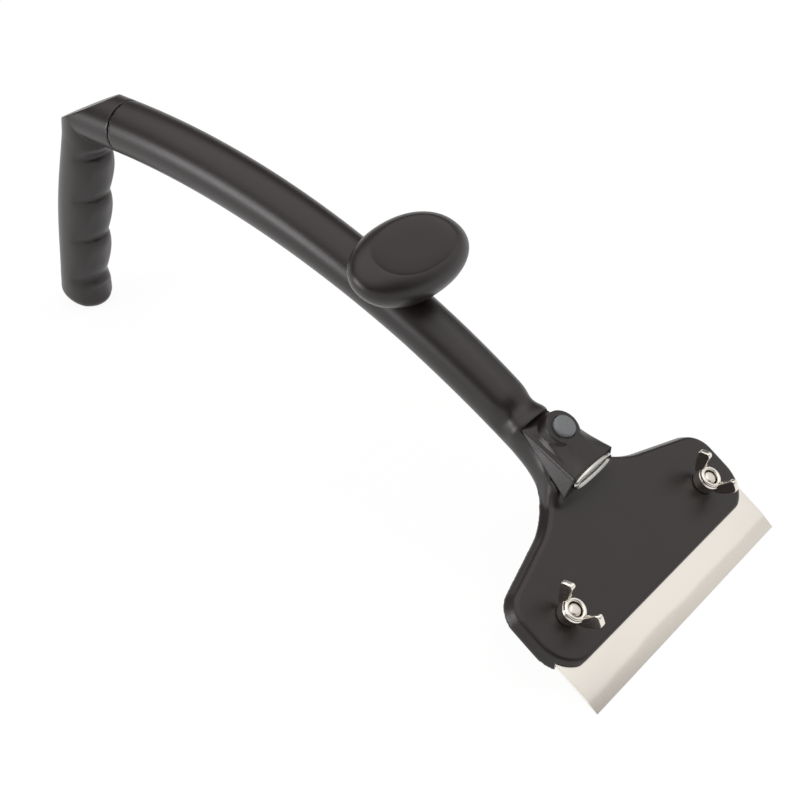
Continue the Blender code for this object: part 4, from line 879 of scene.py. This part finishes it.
def makeBezel():  # rolled rim with two fine grooves inside it
    proud, ledge, skirt, gap = lens["proud"], lens["ledge"], lens["skirt"], fit["gap"]
    outline = [(gap, -lens["skirtDepth"]), (skirt, -lens["skirtDepth"]), (skirt, gap), (lens["rim"], gap)]
    outline += [(lens["rim"] - inward, proud - drop) for inward, drop in lens["roll"]]
    outline += [(-ledge + outward, proud - drop) for outward, drop in lens["inner"]]
    outline += [(-ledge, lens["ledgeTop"]), (-ledge, gap), (gap, gap)]
    bm = skinned([oval(along, outset, 128) for outset, along in outline], endless=True)
    keep("bezelRing", moved(bm, lightPlace), "chrome_trim", ["bezel_ring"], crease=38)


def makeLens():  # clear oval with nested ripples inside a plain border
    (outer, inner), step, steps = lens["border"], lens["step"], lens["steps"]
    rings = [oval(-lens["thick"], 0), oval(0, 0), oval(0, -outer), oval(step, -inner)]
    inward = lens["rise"] - inner - lens["core"]
    for k in range(1, steps + 1):
        dome = step + (lens["crown"] - step) * sin(pi / 2 * k / steps)
        dome -= lens["ripple"] * (1 - cos(2 * pi * lens["ripples"] * k / steps))
        rings.append(oval(dome, -inner - inward * k / steps))
    keep("lensOval", moved(skinned(rings), lightPlace), "clear_lens", ["lens"])


button = {"radius": 5.05, "flange": 6.05, "stem": 1.6, "flangeLow": 12.0, "flangeTop": 12.8, "top": 16.7,
          "edge": 1.1, "edgeRise": 0.95, "edgeSteps": 6, "crown": [(1.9, 0.08), (3.2, 0.02)]}


def makeButton():
    corners = [headFrame.inverted() @ vertex.co for vertex in frame["nodes"]["push_button"].data.vertices]
    stemLow = min(corner.z for corner in corners) * 1000
    side, top, edge = button["radius"], button["top"], button["edge"]
    outline = [(0, stemLow), (button["stem"], stemLow), (button["stem"], button["flangeLow"]),
               (button["flange"], button["flangeLow"]), (button["flange"], button["flangeTop"]),
               (side, button["flangeTop"]), (side, top - edge)]
    for k in range(1, button["edgeSteps"] + 1):
        turn = pi / 2 * k / button["edgeSteps"]
        outline.append((side - edge * (1 - cos(turn)), top - edge + button["edgeRise"] * sin(turn)))
    outline += [(side - inward, top - drop) for inward, drop in button["crown"]] + [(0, top)]
    keep("pushButton", moved(turned(outline, 72), wellPlace), "button_plastic", ["push_button"],
         body="button")


makeLight()
makeBezel()
makeLens()
makeButton()

blade = {"tail": -13.2, "tip": 35.15, "half": 69.85, "top": -3.2, "bottom": -4.6, "grind": 7.8, "edge": 0.3,
         "sharpAbove": radians(60), "ease": 0.12}


def makeBlade():
    tail, tip, top, bottom = blade["tail"], blade["tip"], blade["top"], blade["bottom"]
    profile = [(tail, bottom), (tip, bottom), (tip, bottom + blade["edge"]), (tip - blade["grind"], top),
               (tail, top)]
    bm = pulled(flat([(x, -blade["half"], z) for x, z in profile]), (0, 2 * blade["half"], 0))
    sharp = [edge for edge in bm.edges if edge.calc_face_angle(0) > blade["sharpAbove"]]
    eased(bm, sharp, blade["ease"], 3)
    keep("scraperBlade", carved(bm, boltHoles(1)), "blade_steel", ["blade"], crease=20)


# The head's dome is a share of its width and a height; the end is in from the shank and down from the tip
bolt = {"shank": 3.0, "head": 5.5, "headTop": -6.5, "headLow": -8.6, "plainTop": 3.0, "tip": 6.2,
        "dome": [(0.5, 0.02), (0.75, 0.16), (0.9, 0.5), (0.98, 1.0), (1.0, 1.3)], "thread": (0.1, 0.2),
        "tipRise": 0.04,
        "end": [(0.1, 0.9), (0.22, 0.55), (0.55, 0.25), (1.1, 0.06), (1.7, 0.0)]}


def makeBolt(word, place):
    shank, tip, low, wide = bolt["shank"], bolt["tip"], bolt["headLow"], bolt["head"]
    outline = [(0, low)] + [(wide * share, low + rise) for share, rise in bolt["dome"]]
    inward, rise = bolt["thread"]
    outline += [(wide, bolt["headTop"]), (shank, bolt["headTop"]), (shank, bolt["plainTop"]),
                (shank - inward, bolt["plainTop"] + rise)]
    outline += [(shank - inward, tip - drop) for inward, drop in bolt["end"]] + [(0, tip + bolt["tipRise"])]
    keep("bolt" + word.title(), moved(turned(outline, 56), place), "zinc_steel", ["bolt_" + word])


# The hub's rows go in from its base, in from its top and out from its bore, each with a drop from the top
nut = {"low": 0.3, "high": 6.8, "base": 5.4, "top": 5.0, "bore": 3.3, "foot": 0.2,
       "baseRows": [(0.0, 1.75), (0.12, 1.5)],
       "topRows": [(-0.02, 1.3), (0.06, 1.1), (0.0, 0.55), (0.2, 0.15), (0.55, 0.0)],
       "boreRows": [(0.55, 0.0), (0.2, 0.12), (0.0, 0.4)], "wingThick": 2.5, "wingCorner": 0.55,
       "wingRim": 0.45, "voxel": 0.2, "easing": 4,
       "wing": [(4.2, 2.0), (5.9, 2.4), (7.5, 3.5), (10.2, 8.0), (11.6, 11.6), (11.3, 13.0), (8.5, 15.0),
                (7.4, 15.2), (6.5, 14.2), (5.7, 11.2), (4.75, 8.6), (4.2, 6.2)]}


def nutWing(way):
    thick = nut["wingThick"]
    wing = pulled(flat([(way * x, -thick / 2, z) for x, z in nut["wing"]]), (0, thick, 0))
    uprights = [edge for edge in wing.edges if abs(edge.verts[0].co.y - edge.verts[1].co.y) > 1]
    eased(wing, uprights, nut["wingCorner"], 3)
    rim = [edge for edge in wing.edges if abs(edge.verts[0].co.y - edge.verts[1].co.y) < 0.001]
    eased(wing, rim, nut["wingRim"], 3)
    return wing


def makeNut(word, place):
    low, high, base, foot = nut["low"], nut["high"], nut["base"], nut["foot"]
    outline = [(nut["bore"], low), (base - foot, low), (base, low + foot)]
    outline += [(base - inward, high - drop) for inward, drop in nut["baseRows"]]
    outline += [(nut["top"] - inward, high - drop) for inward, drop in nut["topRows"]]
    outline += [(nut["bore"] + outward, high - drop) for outward, drop in nut["boreRows"]]
    skin = fused(joined(turned(outline, 72), nutWing(-1), nutWing(1)), nut["voxel"], nut["easing"])
    keep("wingNut" + word.title(), moved(skin, place), "wing_nut_chrome", ["wing_nut_" + word],
         body=word + "_nut")


makeBlade()
for side, word in ((-1, "right"), (1, "left")):
    nutPlace = offset(0, side * head["nutOffset"], 0)
    makeBolt(word, nutPlace)
    makeNut(word, nutPlace)

camera = {"place": (-34.13, -404.5, 458.17), "right": (0.65934, 0.63862, 0.39678),
          "down": (0.74117, -0.46344, -0.48569), "ahead": (-0.12629, 0.61432, -0.77889), "lens": 65.25,
          "sensor": 36.0, "near": 0.02, "far": 30}


def makeCamera():
    eye = bpy.data.cameras.new("camera")
    eye.lens, eye.sensor_width, eye.sensor_fit = camera["lens"], camera["sensor"], "HORIZONTAL"
    eye.clip_start, eye.clip_end = camera["near"], camera["far"]
    axes = Matrix((Vector(camera["right"]), -Vector(camera["down"]), -Vector(camera["ahead"]))).transposed()
    holder = linked("camera", eye)
    turn = (headFrame.to_3x3() @ axes).to_4x4()
    holder.matrix_world = Matrix.Translation(toWorld @ Vector(camera["place"])) @ turn
    view.camera = holder


# A glow is a soft light in the world: its way, where it starts and is full as a cosine, and its strength.
# A lamp is a name, a place in metres, a width and a power.
studio = {"floorTone": rgb(0.80, 0.80, 0.80), "floorHalf": 4.0, "bright": 1.05, "shadowShare": 0.12,
          "warmth": rgb(1.0, 0.975, 0.965), "dim": 0.10, "wallFade": (0.05, 0.22),
          "glows": [((-0.15, -0.12, 1.0), 0.52, 0.90, 1.30), ((0.42, 0.68, 0.60), 0.76, 0.97, 0.88)],
          "lamps": [("sideBox", (-0.70, -1.19, 0.17), 0.76, 8.8)], "lampAim": (0.05, 0, 0.05)}
white = rgb(1, 1, 1)


def seenPlainly(net):  # rays from the camera, and rays that metal and glass send on
    direct = net.add("ShaderNodeLightPath", output="Is Camera Ray")
    outputs = direct.socket.node.outputs
    glossy, through = (Wire(net, outputs[name]) for name in ("Is Glossy Ray", "Is Transmission Ray"))
    return direct, net.larger(glossy, through)


def floorShader(net):
    seen = net.larger(*seenPlainly(net))
    matt = net.add("ShaderNodeBsdfDiffuse", {}, {"Color": studio["floorTone"]})
    glow = net.add("ShaderNodeEmission", {}, {"Color": white, "Strength": studio["bright"]})
    return net.add("ShaderNodeMixShader", {}, {0: seen * (1 - studio["shadowShare"]), 1: matt, 2: glow})


def makeFloor():
    bm = bmesh.new()
    bmesh.ops.create_grid(bm, x_segments=4, y_segments=4, size=studio["floorHalf"])
    floor = linkedMesh("floor", bm)
    floor.data.materials.append(material("pale floor", floorShader))


def makeWorld():
    world = bpy.data.worlds.new("studio")
    view.world = world
    world.use_nodes = True
    net = Net(world.node_tree)
    direct, sentOn = seenPlainly(net)
    way = net.add("ShaderNodeTexCoord", output="Generated")
    soft = studio["dim"]
    for middle, low, high, strength in studio["glows"]:
        soft = soft + net.ease(low, high, net.dot(way, Vector(middle).normalized())) * strength
    # metal and glass show the white wall around the floor
    wall = 1 - net.ease(*studio["wallFade"], net.dot(way, skyward))
    shown = net.larger(direct, sentOn * wall)
    backdrop = net.add("ShaderNodeBackground", {}, {"Color": net.blend(shown, studio["warmth"], white),
                                                    "Strength": soft * (1 - shown) + shown})
    net.add("ShaderNodeOutputWorld", {}, {"Surface": backdrop})


def makeLamps():
    for name, place, size, power in studio["lamps"]:
        lamp = bpy.data.lights.new(name, "AREA")
        lamp.shape, lamp.size, lamp.energy = "DISK", size, power
        holder = linked(name, lamp)
        place = Vector(place)
        aim = (Vector(studio["lampAim"]) - place).to_track_quat("-Z", "Y").to_matrix().to_4x4()
        holder.matrix_world = Matrix.Translation(place) @ aim


makeCamera()
makeFloor()
makeWorld()
makeLamps()
view.view_settings.view_transform = "Standard"
print("studio ready")
